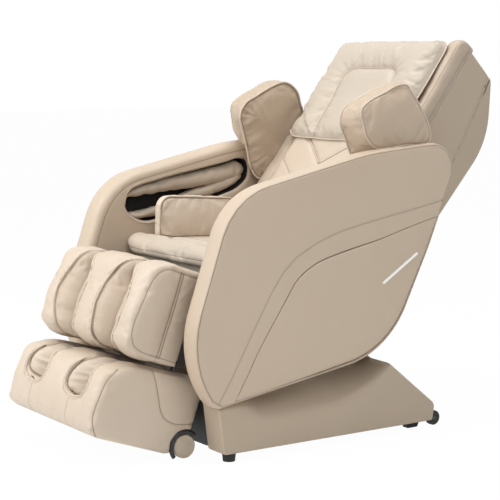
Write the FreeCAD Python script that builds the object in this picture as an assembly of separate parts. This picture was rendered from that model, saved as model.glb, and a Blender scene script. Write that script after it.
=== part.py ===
import FreeCAD, Part
import math
import os

# A massage chair: a low base on rubber feet, a seat between two tall upholstered side
# panels, a reclined backrest with shoulder pads and a loose head pillow, and a leg rest
# with calf channels and a foot unit. Millimetres. X runs across the chair, positive to
# the sitter's left, the chair faces -Y, and Z is up from the floor. Lengths along Y are
# counted from the front rubber foot, and the finished parts are moved by ORIGIN_Y so
# that the origin is on the floor, in the middle of the chair.

# Widths across the chair, from the outside in
CHAIR_WIDTH = 780
ARM_THICKNESS = 81
COVER_INSET = 20      # base cover, in from a side panel's outer face
SEAT_RAIL_PLAY = 11   # between a side panel and the seat frame's rail
BACK_PLAY = 31        # between a side panel and the back
LEG_PLAY = 49         # between a side panel and the leg rest
ORIGIN_Y = 309.5

# Clearances
RUN = 0.05            # radial, pin in its hole
SOFT_GAP = 0.3        # between a pad and what it lies on
SIDE_PLAY = 3         # between parts that swing past each other
GROOVE = 1.5          # dark joint round an inset panel
WALL = 4              # moulded covers

# Base frame of steel tube
FRAME_Z = 26
CROSS_HEIGHT = 30
CROSS_DEPTH = 30
RAIL_WIDTH = 30
RAIL_HEIGHT = 40
BASE_RAIL_PLAY = 6
TUBE_WALL = 3
PLATE = 8
FRONT_CROSS_Y = 0
REAR_CROSS_Y = 665
MID_CROSS_Y = 520

# Base covers, seen from the side as corners (y, z, rounding)
COVER_DEPTH = 84
COVER_LEDGE_DEPTH = 64
COVER_CORNERS = [(-33, 24, 10), (-57, 205, 20), (30, 262, 60), (486, 262, 14),
                 (719, 74, 22), (711, 24, 6)]
LEDGE_CORNERS = [(-90, 148, 5), (26, 152, 30), (95, 102, 70), (330, 100, 160), (480, 156, 90),
                 (590, 262, 5), (590, 420, 5), (-90, 420, 5)]
GUARD_HEIGHT = 150
GUARD_PLATE = 6

# Feet, transport wheels and mains inlet
FOOT_RADIUS = 20
FOOT_INSET = 28
REAR_PAD_LENGTH = 62
CASTER_RADIUS = 22
CASTER_Y = 727
CASTER_Z = 27
CASTER_INSET = 21
CASTER_WIDTH = 18
CASTER_PIN = 5
INLET_WIDTH = 84
INLET_HEIGHT = 60
INLET_X = -70
INLET_DEPTH = 34
SWITCH_WIDTH = 18
SWITCH_HEIGHT = 24

# Tilt hinge between the base and the seat
TILT_Y = 60
TILT_Z = 330
TILT_PIN = 12
POST_WIDTH = 76

# Seat frame, pan and cushion
SEAT_RAIL_Z = 412
SEAT_RAIL_FRONT = 30
SEAT_RAIL_REAR = 500
SEAT_FRONT_CROSS_Y = 110
SEAT_REAR_CROSS_Y = 415
PAN_THICKNESS = 8
SEAT_CROSS_HEIGHT = 22
CUSHION_FRONT = 42
CUSHION_REAR = 438
CUSHION_TOP = 545
BOLSTER_TOP = 572
BOLSTER_BOTTOM = 516
HIP_PAD_INSET = 93
HIP_PAD_THICKNESS = 38
HIP_PAD_CORNERS = [(112, 22, 8), (118, 141, 38), (394, 127, 24), (374, -3.3, 10), (162, 4.4, 20)]

# Air pump and control box, hung under the seat pan beside the rails
PUMP_PLAY = 46
PUMP_FRONT = 128
PUMP_WIDTH = 132
PUMP_LENGTH = 152
PUMP_HEIGHT = 84
CONTROL_PLAY = 22
CONTROL_FRONT = 150
CONTROL_GAP = 64
CONTROL_LENGTH = 180
CONTROL_HEIGHT = 62

# Side panels and what is set into them, corners (y, z, rounding)
PANEL_CORNERS = [(-67, 157, 29), (-166, 287, 268), (-14, 731, 204), (447, 833, 900),
                 (801, 863, 76), (671, 548, 900), (524, 255, 284)]
PANEL_EDGE = 12
INSERT_CORNERS = [(-40, 152, 8), (205, 523, 150), (452, 580, 600), (730, 648, 30),
                  (671, 548, 900), (524, 255, 284)]
INSERT_DEPTH = 10
ACCENT_Y = 560
ACCENT_Z = 497
ACCENT_LENGTH = 150
ACCENT_HEIGHT = 8
ACCENT_SLOPE = 32
CHANNEL_FRONT = 46
CHANNEL_REAR = 500
CHANNEL_HEIGHT = 116
CHANNEL_FLOOR_Z = 597
CHANNEL_SLOPE = 10.5
CHANNEL_DEPTH = 62
UPPER_ROLL = 28
LOWER_ROLL = 16

# Backrest: measured along (b, a), a up the back and b square to it towards the rear,
# from the hinge
BACK_HINGE_Y = 470
BACK_HINGE_Z = 480
BACK_LEAN = 38
BACK_PIN = 10
BACK_FOOT = 60
BACK_TOP = 784
SHELL_CORNERS = [(-22, BACK_FOOT, 5), (-34, BACK_TOP, 10), (84, BACK_TOP - 14, 20),
                 (206, BACK_TOP - 168, 220), (172, 120, 140), (120, BACK_FOOT, 30)]
REAR_COVER_FRONT = [(60, 830), (124, 420), (108, 20)]
BACK_PAD_REAR = -66
BACK_PAD_FRONT = -112
BACK_PAD_TOP = BACK_TOP - 2
BACK_CAP_DEPTH = 31
BACK_CAP_HEIGHT = 40
SIDE_PAD_WIDTH = 56
SIDE_PAD_CORNERS = [(-22.3, BACK_FOOT + 2, 8), (-106, BACK_FOOT + 2, 26), (-112, 300, 300),
                    (-96, BACK_TOP + 13, 40), (-34.5, BACK_TOP + 6, 12)]
PILLOW_SIDE_GAP = 5
PILLOW_BOTTOM = 400
PILLOW_TOP = BACK_TOP - 20
PILLOW_FRONT = -142
PILLOW_REAR = -74
PILLOW_FLAP = 3
PILLOW_HINGE = BACK_TOP + 6
WING_CORNERS = [(-104, 216, 10), (-292, 318, 24), (-306, 372, 30), (-246, 498, 40),
                (-158, 532, 30), (-28, 452, 14), (-30, 330, 40)]
WING_FLARE_CORNERS = [(-180, 345, 8), (-236, 298, 10), (-290, 320, 20), (-304, 372, 30),
                      (-244, 496, 40), (-158, 530, 30), (-34, 458, 16)]
WING_NARROW = 25
WING_FLARE = 62
WING_TOE_IN = 24
WING_TOE_FRONT = -130

# Massage drive inside the back
RAIL_PITCH = 130
BACK_RAIL_WIDTH = 20
BACK_RAIL_FRONT = 60
BACK_RAIL_DEPTH = 30
SCREW_RADIUS = 8
CARRIAGE_BOTTOM = 250
CARRIAGE_HEIGHT = 140
CARRIAGE_WIDTH = 316
ARM_PIVOT_B = 20
ARM_REACH = 76
ROLLER_RADIUS = 24
ROLLER_WIDTH = 30
ROLLER_PIN = 6
ROLLER_ARM_X = 62

# Leg rest: measured along (b, a) from its hinge, a up the leg, b square to it rearwards
LEG_HINGE_Y = -12
LEG_HINGE_Z = 498
LEG_LEAN = 20
LEG_PIN = 8
LEG_ARM_INSET = 17
LEG_ARM_WIDTH = 14
CALF_LENGTH = 262
CALF_TOP = 6
CALF_SEAM = -80
CALF_REAR = -14
CALF_PAD_CORNERS = [(CALF_SEAM, -CALF_LENGTH, 8), (-196, -CALF_LENGTH, 45), (-204, -150, 220),
                    (-170, CALF_TOP, 60), (CALF_SEAM, CALF_TOP, 12)]
CALF_PAD_WIDTH = 72
CALF_CHANNEL_WIDTH = 126
CALF_AIRBAG = 14

# Foot unit, on the same leg axes, hung below the calf pads
FOOT_GAP = 10
FOOT_HEIGHT = 226
FOOT_TOP = -CALF_LENGTH - FOOT_GAP
FOOT_SOLE = FOOT_TOP - FOOT_HEIGHT
FOOT_CORNERS = [(-230, FOOT_SOLE - 5, 32), (-238, FOOT_TOP - 18, 105), (97, FOOT_TOP, 25),
                (98, FOOT_SOLE + 73, 8), (44, FOOT_SOLE, 8)]
POCKET_INSET = 138
POCKET_WIDTH = 108
POCKET_FLOOR = FOOT_SOLE + 28
POCKET_TOE = -214
POCKET_HEEL = 62
NOTCH_BOTTOM = POCKET_FLOOR + 65
INSOLE = 10
CHEEK_PAD = 10
FOOT_ROLLER_B = -70
FOOT_ROLLER_A = POCKET_FLOOR - 4
FOOT_ROLLER_RADIUS = 18
FOOT_ROLLER_AXLE = 3.5
FOOT_ROLLER_REACH = 76
WHEEL_B = 87
WHEEL_A = FOOT_SOLE + 35
WHEEL_RADIUS = 33
WHEEL_WIDTH = 22
WHEEL_PIN = 5
ARCH_RADIUS = 46
ARCH_WALL = 7
ARCH_DEPTH = 38
SLIDE_INSET = 55
SLIDE_BOTTOM = FOOT_TOP - 8
SLIDE_RADIUS = 9
SLIDE_TOP = SLIDE_BOTTOM + 150
SLIDE_DEPTH = 90

# Linear actuators
ACTUATOR_RADIUS = 20
ACTUATOR_ROD = 10
ACTUATOR_PIN = 7
ACTUATOR_EYE = 22
OPEN_PIVOT_PLAY = 7.5
BACK_LEVER = (75, -75)
LEG_LEVER = (42, -40)
CLEVIS_GAP = 22
CLEVIS_PLATE = 6

HALF = CHAIR_WIDTH / 2
ARM_INNER = HALF - ARM_THICKNESS
BACK_HALF = ARM_INNER - BACK_PLAY
LEG_HALF = ARM_INNER - LEG_PLAY
COVER_HALF = HALF - COVER_INSET
COVER_INNER = COVER_HALF - COVER_DEPTH
RAIL_X = COVER_INNER - BASE_RAIL_PLAY - RAIL_WIDTH / 2
FOOT_X = COVER_HALF - FOOT_INSET
CASTER_X = COVER_HALF - CASTER_INSET
SEAT_RAIL_X = ARM_INNER - SEAT_RAIL_PLAY - RAIL_WIDTH / 2
HIP_PAD_X = ARM_INNER - HIP_PAD_INSET
LEG_ARM_X = LEG_HALF - LEG_ARM_INSET
MIDDLE_PAD_HALF = LEG_HALF - CALF_PAD_WIDTH - CALF_CHANNEL_WIDTH
POCKET_X = LEG_HALF - POCKET_INSET
SLIDE_X = LEG_HALF - SLIDE_INSET
CROSS_TOP = FRAME_Z + CROSS_HEIGHT
RAIL_TOP = CROSS_TOP + RAIL_HEIGHT
SEAT_RAIL_TOP = SEAT_RAIL_Z + RAIL_HEIGHT
PAN_TOP = SEAT_RAIL_TOP + PAN_THICKNESS
POCKET_HALF = POCKET_WIDTH / 2


def vec(x, y, z):
    return FreeCAD.Vector(x, y, z)


def block(x0, x1, y0, y1, z0, z1):
    """Box between two corners."""
    return Part.makeBox(x1 - x0, y1 - y0, z1 - z0, vec(x0, y0, z0))


def pin(x0, x1, y, z, radius):
    """Cylinder along X."""
    return Part.makeCylinder(radius, x1 - x0, vec(x0, y, z), vec(1, 0, 0))


def outline(corners, x):
    """Closed wire in the plane at x through corners (y, z, rounding)."""
    count = len(corners)
    starts, mids, ends = [], [], []
    for i, (y, z, radius) in enumerate(corners):
        here = vec(x, y, z)
        back = vec(x, *corners[i - 1][:2]) - here
        on = vec(x, *corners[(i + 1) % count][:2]) - here
        back.normalize()
        on.normalize()
        half = back.getAngle(on) / 2
        reach = radius / math.tan(half)
        middle = (back + on).normalize()
        starts.append(here + back * reach)
        ends.append(here + on * reach)
        mids.append(here + middle * (radius / math.sin(half) - radius))
    edges = []
    for i in range(count):
        edges.append(Part.Arc(starts[i], mids[i], ends[i]).toShape())
        edges.append(Part.LineSegment(ends[i], starts[(i + 1) % count]).toShape())
    return Part.Wire(edges)


def slab(corners, x0, x1):
    """Outline carried along X from x0 to x1."""
    return Part.Face(outline(corners, x0)).extrude(vec(x1 - x0, 0, 0))


def inner_slab(corners, wall, x0, x1):
    """The same, drawn in by a wall."""
    return Part.Face(outline(corners, x0)).makeOffset2D(-wall).extrude(vec(x1 - x0, 0, 0))


def eased(shape, planes, radius):
    """Round the edges that lie in the planes x = planes."""
    edges = [e for e in shape.Edges
             if any(all(abs(v.Point.x - x) < 0.001 for v in e.Vertexes) for x in planes)]
    return shape.makeFillet(radius, edges)


def joined(shapes):
    """One solid out of shapes that touch or overlap."""
    return shapes[0].fuse(shapes[1:]).removeSplitter()


def mirrored(shape):
    return shape.mirror(vec(0, 0, 0), vec(1, 0, 0))


def pair(shape):
    """Left and right copies as separate solids of one node."""
    return Part.makeCompound([shape, mirrored(shape)])


def on_back(shape):
    """From the backrest's own axes to the chair's."""
    turned = shape.copy()
    turned.rotate(vec(0, 0, 0), vec(-1, 0, 0), BACK_LEAN)
    turned.translate(vec(0, BACK_HINGE_Y, BACK_HINGE_Z))
    return turned


def on_leg(shape):
    """From the leg rest's own axes to the chair's."""
    turned = shape.copy()
    turned.rotate(vec(0, 0, 0), vec(-1, 0, 0), LEG_LEAN)
    turned.translate(vec(0, LEG_HINGE_Y, LEG_HINGE_Z))
    return turned


def back_point(b, a):
    """(y, z) of a point given on the backrest's axes."""
    lean = math.radians(BACK_LEAN)
    return (BACK_HINGE_Y + b * math.cos(lean) + a * math.sin(lean),
            BACK_HINGE_Z - b * math.sin(lean) + a * math.cos(lean))


def leg_point(b, a):
    """(y, z) of a point given on the leg rest's axes."""
    lean = math.radians(LEG_LEAN)
    return (LEG_HINGE_Y + b * math.cos(lean) + a * math.sin(lean),
            LEG_HINGE_Z - b * math.sin(lean) + a * math.cos(lean))


def tube_x(x0, x1, y, z0, depth, height):
    """Square tube along X, centred at y."""
    outer = block(x0, x1, y - depth / 2, y + depth / 2, z0, z0 + height)
    bore = block(x0, x1, y - depth / 2 + TUBE_WALL, y + depth / 2 - TUBE_WALL,
                 z0 + TUBE_WALL, z0 + height - TUBE_WALL)
    return outer.cut(bore)


def tube_y(x, y0, y1, z0):
    """Square tube along Y, centred at x."""
    outer = block(x - RAIL_WIDTH / 2, x + RAIL_WIDTH / 2, y0, y1, z0, z0 + RAIL_HEIGHT)
    bore = block(x - RAIL_WIDTH / 2 + TUBE_WALL, x + RAIL_WIDTH / 2 - TUBE_WALL, y0, y1,
                 z0 + TUBE_WALL, z0 + RAIL_HEIGHT - TUBE_WALL)
    return outer.cut(bore)


def ear(x0, x1, eye, base, radius, hole):
    """Plate that tapers from a round eye at (y, z) to two base points, with its hole."""
    (y, z), (p, q) = eye, base
    plate = Part.Face(Part.makePolygon([vec(x0, *p), vec(x0, *q), vec(x0, y, z), vec(x0, *p)]))
    plate = plate.extrude(vec(x1 - x0, 0, 0))
    wings = []
    for foot, turn in ((p, 1), (q, -1)):
        arm = vec(x0, *foot) - vec(x0, y, z)
        square = vec(0, -arm.z, arm.y).normalize() * radius * turn
        corners = [vec(x0, *foot), vec(x0, y, z), vec(x0, y, z) + square, vec(x0, *foot)]
        wings.append(Part.Face(Part.makePolygon(corners)).extrude(vec(x1 - x0, 0, 0)))
    solid = joined([pin(x0, x1, y, z, radius), plate] + wings)
    return solid.cut(pin(x0 - 1, x1 + 1, y, z, hole))


def clevis(x, eye, base, radius=ACTUATOR_EYE - 4):
    """Two ears with their pin through the eye, astride x."""
    inner = CLEVIS_GAP / 2
    outer = inner + CLEVIS_PLATE
    left = ear(x + inner, x + outer, eye, base, radius, ACTUATOR_PIN - 0.5)
    right = ear(x - outer, x - inner, eye, base, radius, ACTUATOR_PIN - 0.5)
    bolt = pin(x - outer - 2, x + outer + 2, *eye, ACTUATOR_PIN)
    return [left, right, bolt]


# Where each linear actuator is pinned: its own end and the end of its rod
TILT_ACTUATOR = {"x": 0, "root": (MID_CROSS_Y, RAIL_TOP + 28), "tip": (400, 374), "body": 190,
                 "stem": 100}
BACK_ACTUATOR = {"x": 78, "root": (190, 384), "tip": back_point(*BACK_LEVER), "body": 196, "stem": 100}
LEG_ACTUATOR = {"x": 0, "root": (318, 334), "tip": leg_point(*LEG_LEVER), "body": 218, "stem": 100}


def actuator(plan):
    """Body and rod of a linear actuator between its two pins."""
    x, root, tip = plan["x"], vec(plan["x"], *plan["root"]), vec(plan["x"], *plan["tip"])
    way = (tip - root).normalize()
    length = (tip - root).Length
    eye_half = CLEVIS_GAP / 2 - 1.5
    barrel = Part.makeCylinder(ACTUATOR_RADIUS, plan["body"] - 24, root + way * 24, way)
    boss = pin(x - eye_half, x + eye_half, *plan["root"], ACTUATOR_EYE - 5)
    neck = Part.makeCylinder(eye_half - 1, 30, root, way)
    motor = Part.makeCylinder(ACTUATOR_RADIUS - 2, 80, root + way * 40 + vec(34, 0, 0), way)
    gearbox = Part.makeCylinder(ACTUATOR_RADIUS + 2, 26, root + way * 26 + vec(16, 0, 0), way)
    bore = Part.makeCylinder(ACTUATOR_ROD + RUN, length, root + way * 50, way)
    eye_hole = pin(x - eye_half, x + eye_half, *plan["root"], ACTUATOR_PIN + RUN)
    body = joined([barrel, boss, neck, gearbox, motor]).cut(joined([bore, eye_hole]))
    stem = plan["stem"]
    shaft = Part.makeCylinder(ACTUATOR_ROD, length - stem - ACTUATOR_EYE + 4, root + way * stem, way)
    eye_solid = pin(x - eye_half, x + eye_half, *plan["tip"], ACTUATOR_EYE)
    open_hole = pin(x - eye_half, x + eye_half, *plan["tip"], ACTUATOR_PIN + OPEN_PIVOT_PLAY)
    rod = joined([shaft, eye_solid]).cut(open_hole)
    return body, rod


def base_frame():
    """Two cross tubes, two rails, the tilt posts, the actuator's ears and the caster axles."""
    reach = COVER_HALF - WALL
    parts = [tube_x(-reach, reach, y, FRAME_Z, CROSS_DEPTH, CROSS_HEIGHT)
             for y in (FRONT_CROSS_Y, REAR_CROSS_Y)]
    foot = ((TILT_Y - POST_WIDTH / 2, RAIL_TOP), (TILT_Y + POST_WIDTH / 2, RAIL_TOP))
    for side in (-1, 1):
        parts.append(tube_y(side * RAIL_X, FRONT_CROSS_Y - CROSS_DEPTH / 2,
                            REAR_CROSS_Y + CROSS_DEPTH / 2, CROSS_TOP))
        parts.append(ear(side * RAIL_X - PLATE / 2, side * RAIL_X + PLATE / 2,
                         (TILT_Y, TILT_Z), foot, TILT_PIN + 12, TILT_PIN + RUN))
        lug_x = side * (CASTER_X - CASTER_WIDTH / 2 - PLATE)
        lug = block(lug_x - PLATE / 2, lug_x + PLATE / 2, REAR_CROSS_Y, CASTER_Y + 12,
                    CASTER_Z + 1, CASTER_Z + 21)
        axle = pin(min(lug_x, side * (CASTER_X + CASTER_WIDTH / 2)),
                   max(lug_x, side * (CASTER_X + CASTER_WIDTH / 2)), CASTER_Y, CASTER_Z, CASTER_PIN)
        parts += [lug, axle.fuse(block(lug_x - PLATE / 2, lug_x + PLATE / 2, CASTER_Y - 10,
                                       CASTER_Y + 10, CASTER_Z - 10, CASTER_Z + 10))]
    parts.append(tube_x(-RAIL_X + RAIL_WIDTH / 2, RAIL_X - RAIL_WIDTH / 2, MID_CROSS_Y, CROSS_TOP,
                        CROSS_DEPTH, RAIL_HEIGHT))
    seat = ((MID_CROSS_Y - CROSS_DEPTH / 2, RAIL_TOP), (MID_CROSS_Y + CROSS_DEPTH / 2, RAIL_TOP))
    parts += clevis(TILT_ACTUATOR["x"], TILT_ACTUATOR["root"], seat)
    return joined(parts)


def base_cover():
    """Left base cover: a moulded shell open below and inwards, stepped in under the panel."""
    skin = slab(COVER_CORNERS, COVER_INNER, COVER_HALF)
    ledge = slab(LEDGE_CORNERS, COVER_HALF - COVER_LEDGE_DEPTH, COVER_HALF + 1)
    outer = skin.cut(ledge)
    hollow = inner_slab(COVER_CORNERS, WALL, COVER_INNER - 1, COVER_HALF - WALL)
    raised = [(y, z + (-WALL if z < 300 else 0), r) for y, z, r in LEDGE_CORNERS]
    step = slab(raised, COVER_HALF - COVER_LEDGE_DEPTH - WALL, COVER_HALF)
    below = block(COVER_INNER - 1, COVER_HALF - WALL, COVER_CORNERS[0][0] + WALL,
                  COVER_CORNERS[-1][0] - WALL, FRAME_Z - 12, FRAME_Z + 4)
    wheel_gap = block(CASTER_X - CASTER_WIDTH / 2 - PLATE - 8, CASTER_X + CASTER_WIDTH / 2 + 4,
                      CASTER_Y - 40, CASTER_Y + 20, FRAME_Z - 5, CASTER_Z + CASTER_RADIUS + 6)
    return outer.cut(hollow.cut(step)).cut(below).cut(wheel_gap)


def rear_slope():
    """Start, direction and outward normal of the base's slanted rear, as (y, z) vectors."""
    low, high = vec(0, *COVER_CORNERS[-2][:2]), vec(0, *COVER_CORNERS[-3][:2])
    up = (high - low).normalize()
    return low, up, vec(0, up.z, -up.y)


def on_slope(shape):
    """From axes with Y up the slanted rear and Z outwards to the chair's."""
    low, up, out = rear_slope()
    turned = shape.copy()
    turned.transformShape(FreeCAD.Matrix(1, 0, 0, low.x, 0, up.y, out.y, low.y,
                                         0, up.z, out.z, low.z, 0, 0, 0, 1))
    return turned


def base_rear_cover():
    """Slanted plate between the side covers, with the hole for the mains inlet."""
    width = COVER_INNER - SOFT_GAP
    plate = slab(COVER_CORNERS, -width, width).cut(
        inner_slab(COVER_CORNERS, WALL, -width - 1, width + 1))
    top = COVER_CORNERS[-3][0]
    rear_part = plate.common(block(-width, width, top - 2, 900, 20, 300))
    rear_part = rear_part.cut(block(-width - 1, width + 1, top - 3, COVER_CORNERS[-1][0] - WALL,
                                    20, FRAME_Z + 4))
    hole = on_slope(block(INLET_X - INLET_WIDTH / 2 + 6, INLET_X + INLET_WIDTH / 2 - 6,
                          106, 94 + INLET_HEIGHT, -20, 20))
    return rear_part.cut(hole)


def power_inlet():
    """Black mains inlet with its socket and the well of the rocker switch."""
    x0, x1 = INLET_X - INLET_WIDTH / 2, INLET_X + INLET_WIDTH / 2
    flange = block(x0, x1, 100, 100 + INLET_HEIGHT, 0, 3)
    box = block(x0 + 6.5, x1 - 6.5, 106.5, 93.5 + INLET_HEIGHT, -INLET_DEPTH, 0)
    middle = 100 + INLET_HEIGHT / 2
    socket = block(x1 - 38, x1 - 12, middle - 11, middle + 11, -18, 4)
    blades = [block(x1 - 25 + dx - 1, x1 - 25 + dx + 1, middle - 3, middle + 3, -18, -4)
              for dx in (-7, 0, 7)]
    well = block(*switch_box(SOFT_GAP, 1.5), -16, 4)
    return on_slope(joined([flange.fuse(box).cut(socket).cut(well)] + blades))


def switch_box(side, end):
    """Where the rocker lies, with clearance to its sides and at its ends."""
    x = INLET_X - INLET_WIDTH / 2 + 22
    y = 100 + INLET_HEIGHT / 2
    return (x - SWITCH_WIDTH / 2 - side, x + SWITCH_WIDTH / 2 + side,
            y - SWITCH_HEIGHT / 2 - end, y + SWITCH_HEIGHT / 2 + end)


def power_switch():
    """Rocker, standing a little proud of the inlet's flange."""
    return on_slope(block(*switch_box(0, 0), -9, 5))


def base_front_guard():
    width = COVER_INNER - SOFT_GAP
    front = FRONT_CROSS_Y - CROSS_DEPTH / 2 - GUARD_PLATE
    guard = block(-width, width, front, front + GUARD_PLATE, FRAME_Z + 2, GUARD_HEIGHT)
    return guard.makeFillet(30, [e for e in guard.Edges if abs(e.Length - GUARD_PLATE) < 0.001])


def rubber_feet():
    """Two round front feet and two long rear pads under the cross tubes."""
    front = Part.makeCone(FOOT_RADIUS - 3, FOOT_RADIUS, FRAME_Z, vec(FOOT_X, FRONT_CROSS_Y, 0))
    pad = slab([(REAR_CROSS_Y - REAR_PAD_LENGTH / 2, FRAME_Z, 1),
                (REAR_CROSS_Y - REAR_PAD_LENGTH / 2 + 12, 0, 4),
                (REAR_CROSS_Y + REAR_PAD_LENGTH / 2 - 12, 0, 4),
                (REAR_CROSS_Y + REAR_PAD_LENGTH / 2, FRAME_Z, 1)],
               FOOT_X - FOOT_RADIUS - 12, FOOT_X - 12)
    return Part.makeCompound([front, mirrored(front), pad, mirrored(pad)])


def caster_wheel():
    x0 = CASTER_X - CASTER_WIDTH / 2
    wheel = pin(x0, x0 + CASTER_WIDTH, CASTER_Y, CASTER_Z, CASTER_RADIUS)
    wheel = eased(wheel, (x0, x0 + CASTER_WIDTH), 3)
    return wheel.cut(pin(x0 - 1, x0 + CASTER_WIDTH + 1, CASTER_Y, CASTER_Z, CASTER_PIN + RUN))


def seat_frame():
    """Side rails and cross tubes with the hinge lugs of the base, back and leg rest."""
    parts = [tube_x(-SEAT_RAIL_X, SEAT_RAIL_X, y, SEAT_RAIL_TOP - SEAT_CROSS_HEIGHT, CROSS_DEPTH,
                    SEAT_CROSS_HEIGHT)
             for y in (SEAT_FRONT_CROSS_Y, SEAT_REAR_CROSS_Y)]
    bores = []
    inner, outer = SEAT_RAIL_X - RAIL_WIDTH / 2, SEAT_RAIL_X + RAIL_WIDTH / 2
    for side in (-1, 1):
        parts.append(block(side * SEAT_RAIL_X - RAIL_WIDTH / 2, side * SEAT_RAIL_X + RAIL_WIDTH / 2,
                           SEAT_RAIL_FRONT, SEAT_RAIL_REAR, SEAT_RAIL_Z, SEAT_RAIL_TOP))
        bores.append(block(side * SEAT_RAIL_X - RAIL_WIDTH / 2 + TUBE_WALL,
                           side * SEAT_RAIL_X + RAIL_WIDTH / 2 - TUBE_WALL,
                           SEAT_RAIL_FRONT - 1, SEAT_RAIL_REAR + 1,
                           SEAT_RAIL_Z + TUBE_WALL, SEAT_RAIL_TOP - TUBE_WALL))
    frame = joined(parts).cut(joined(bores))
    tilt_lug = ear(inner + 4, inner + 4 + PLATE, (TILT_Y, TILT_Z),
                   ((TILT_Y - 26, SEAT_RAIL_Z), (TILT_Y + 60, SEAT_RAIL_Z)), TILT_PIN + 10,
                   TILT_PIN - 1)
    tilt_pin = pin(RAIL_X - PLATE / 2 - 6, inner + 4 + PLATE, TILT_Y, TILT_Z, TILT_PIN)
    back_lug = ear(outer - PLATE, outer, (BACK_HINGE_Y, BACK_HINGE_Z),
                   ((BACK_HINGE_Y + 26, SEAT_RAIL_TOP), (BACK_HINGE_Y - 30, SEAT_RAIL_TOP)),
                   BACK_PIN + 10, BACK_PIN + RUN)
    leg_lug = ear(inner, inner + PLATE, (LEG_HINGE_Y, LEG_HINGE_Z),
                  ((SEAT_RAIL_FRONT, SEAT_RAIL_Z + 2), (SEAT_RAIL_FRONT + 40, SEAT_RAIL_TOP)),
                  LEG_PIN + 10, LEG_PIN + RUN)
    spacers = [block(outer, ARM_INNER, y, y + 60, SEAT_RAIL_Z, SEAT_RAIL_TOP - 2) for y in (90, 380)]
    side_parts = [tilt_lug, tilt_pin, back_lug, leg_lug] + spacers
    cross_bottom = SEAT_RAIL_TOP - SEAT_CROSS_HEIGHT
    tilt_base = ((SEAT_REAR_CROSS_Y - CROSS_DEPTH / 2, cross_bottom),
                 (SEAT_REAR_CROSS_Y + CROSS_DEPTH / 2, cross_bottom))
    ears = clevis(TILT_ACTUATOR["x"], TILT_ACTUATOR["tip"], tilt_base[::-1])
    for plan in (BACK_ACTUATOR, LEG_ACTUATOR):
        y = plan["root"][0]
        plate = block(plan["x"] - 17, plan["x"] + 17, y - 24, y + 24, SEAT_RAIL_TOP - 6, SEAT_RAIL_TOP)
        ears += clevis(plan["x"], plan["root"], ((y + 24, SEAT_RAIL_TOP - 6), (y - 24, SEAT_RAIL_TOP - 6)))
        ears.append(plate)
    spine = [block(x - 17, x + 17, SEAT_FRONT_CROSS_Y + CROSS_DEPTH / 2,
                   SEAT_REAR_CROSS_Y - CROSS_DEPTH / 2, SEAT_RAIL_TOP - 6, SEAT_RAIL_TOP)
             for x in (BACK_ACTUATOR["x"], LEG_ACTUATOR["x"])]
    return joined([frame] + side_parts + [mirrored(s) for s in side_parts] + ears + spine)


def seat_pan():
    width = SEAT_RAIL_X + RAIL_WIDTH / 2
    return block(-width, width, SEAT_RAIL_FRONT + 44, SEAT_REAR_CROSS_Y + CROSS_DEPTH / 2,
                 SEAT_RAIL_TOP, PAN_TOP)


def seat_cushion():
    """Seat pad with a rolled front bolster that overhangs the leg rest's hinge."""
    corners = [(CUSHION_FRONT + 42, PAN_TOP, 6), (CUSHION_FRONT + 34, BOLSTER_BOTTOM, 4),
               (CUSHION_FRONT, BOLSTER_BOTTOM, 12), (CUSHION_FRONT - 2, BOLSTER_TOP, 26),
               (CUSHION_FRONT + 62, BOLSTER_TOP - 4, 60), (CUSHION_FRONT + 108, CUSHION_TOP + 4, 80),
               (CUSHION_REAR, CUSHION_TOP - 6, 16), (CUSHION_REAR, PAN_TOP, 6)]
    width = ARM_INNER - SIDE_PLAY
    return slab(corners, -width, width)


def hip_pad():
    corners = [(y, z + CUSHION_TOP, r) for y, z, r in HIP_PAD_CORNERS]
    pad = slab(corners, HIP_PAD_X, HIP_PAD_X + HIP_PAD_THICKNESS)
    return eased(pad, (HIP_PAD_X, HIP_PAD_X + HIP_PAD_THICKNESS), 8)


def channel_corners(low=0, high=0, front=0):
    """Arm channel, parallel to the arm, with its floor and roof moved in by low and high."""
    rise = math.tan(math.radians(CHANNEL_SLOPE)) * (CHANNEL_REAR - CHANNEL_FRONT)
    floor, roof = CHANNEL_FLOOR_Z + low, CHANNEL_FLOOR_Z + CHANNEL_HEIGHT - high
    radius = (roof - floor) * 0.38
    return [(CHANNEL_FRONT + front, floor, radius), (CHANNEL_REAR - front, floor + rise, radius),
            (CHANNEL_REAR - front, roof + rise, radius), (CHANNEL_FRONT + front, roof, radius)]


def side_panel():
    """Left side panel: upholstered, with the arm channel inside and a bed for the insert."""
    body = eased(slab(PANEL_CORNERS, ARM_INNER, HALF), (ARM_INNER, HALF), PANEL_EDGE)
    channel = slab(channel_corners(), ARM_INNER - 1, ARM_INNER + CHANNEL_DEPTH)
    wide = [(y, z, r) for y, z, r in INSERT_CORNERS]
    bed = Part.Face(outline(wide, HALF - INSERT_DEPTH)).makeOffset2D(GROOVE)
    return body.cut(channel).cut(bed.extrude(vec(INSERT_DEPTH + 1, 0, 0)))


def side_insert():
    """Lower outer panel, flush with the side panel and following its lower edge."""
    plate = slab(INSERT_CORNERS, HALF - INSERT_DEPTH, HALF)
    body = eased(slab(PANEL_CORNERS, ARM_INNER, HALF), (ARM_INNER, HALF), PANEL_EDGE)
    return plate.common(body)


def accent_bar():
    """Slim straight bar on the insert."""
    bar = block(HALF, HALF + 2, -ACCENT_LENGTH / 2, ACCENT_LENGTH / 2,
                -ACCENT_HEIGHT / 2, ACCENT_HEIGHT / 2)
    bar = bar.makeFillet(3.5, [e for e in bar.Edges if abs(e.Length - 2) < 0.001])
    bar.rotate(vec(0, 0, 0), vec(1, 0, 0), ACCENT_SLOPE)
    bar.translate(vec(0, ACCENT_Y, ACCENT_Z))
    return bar


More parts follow.
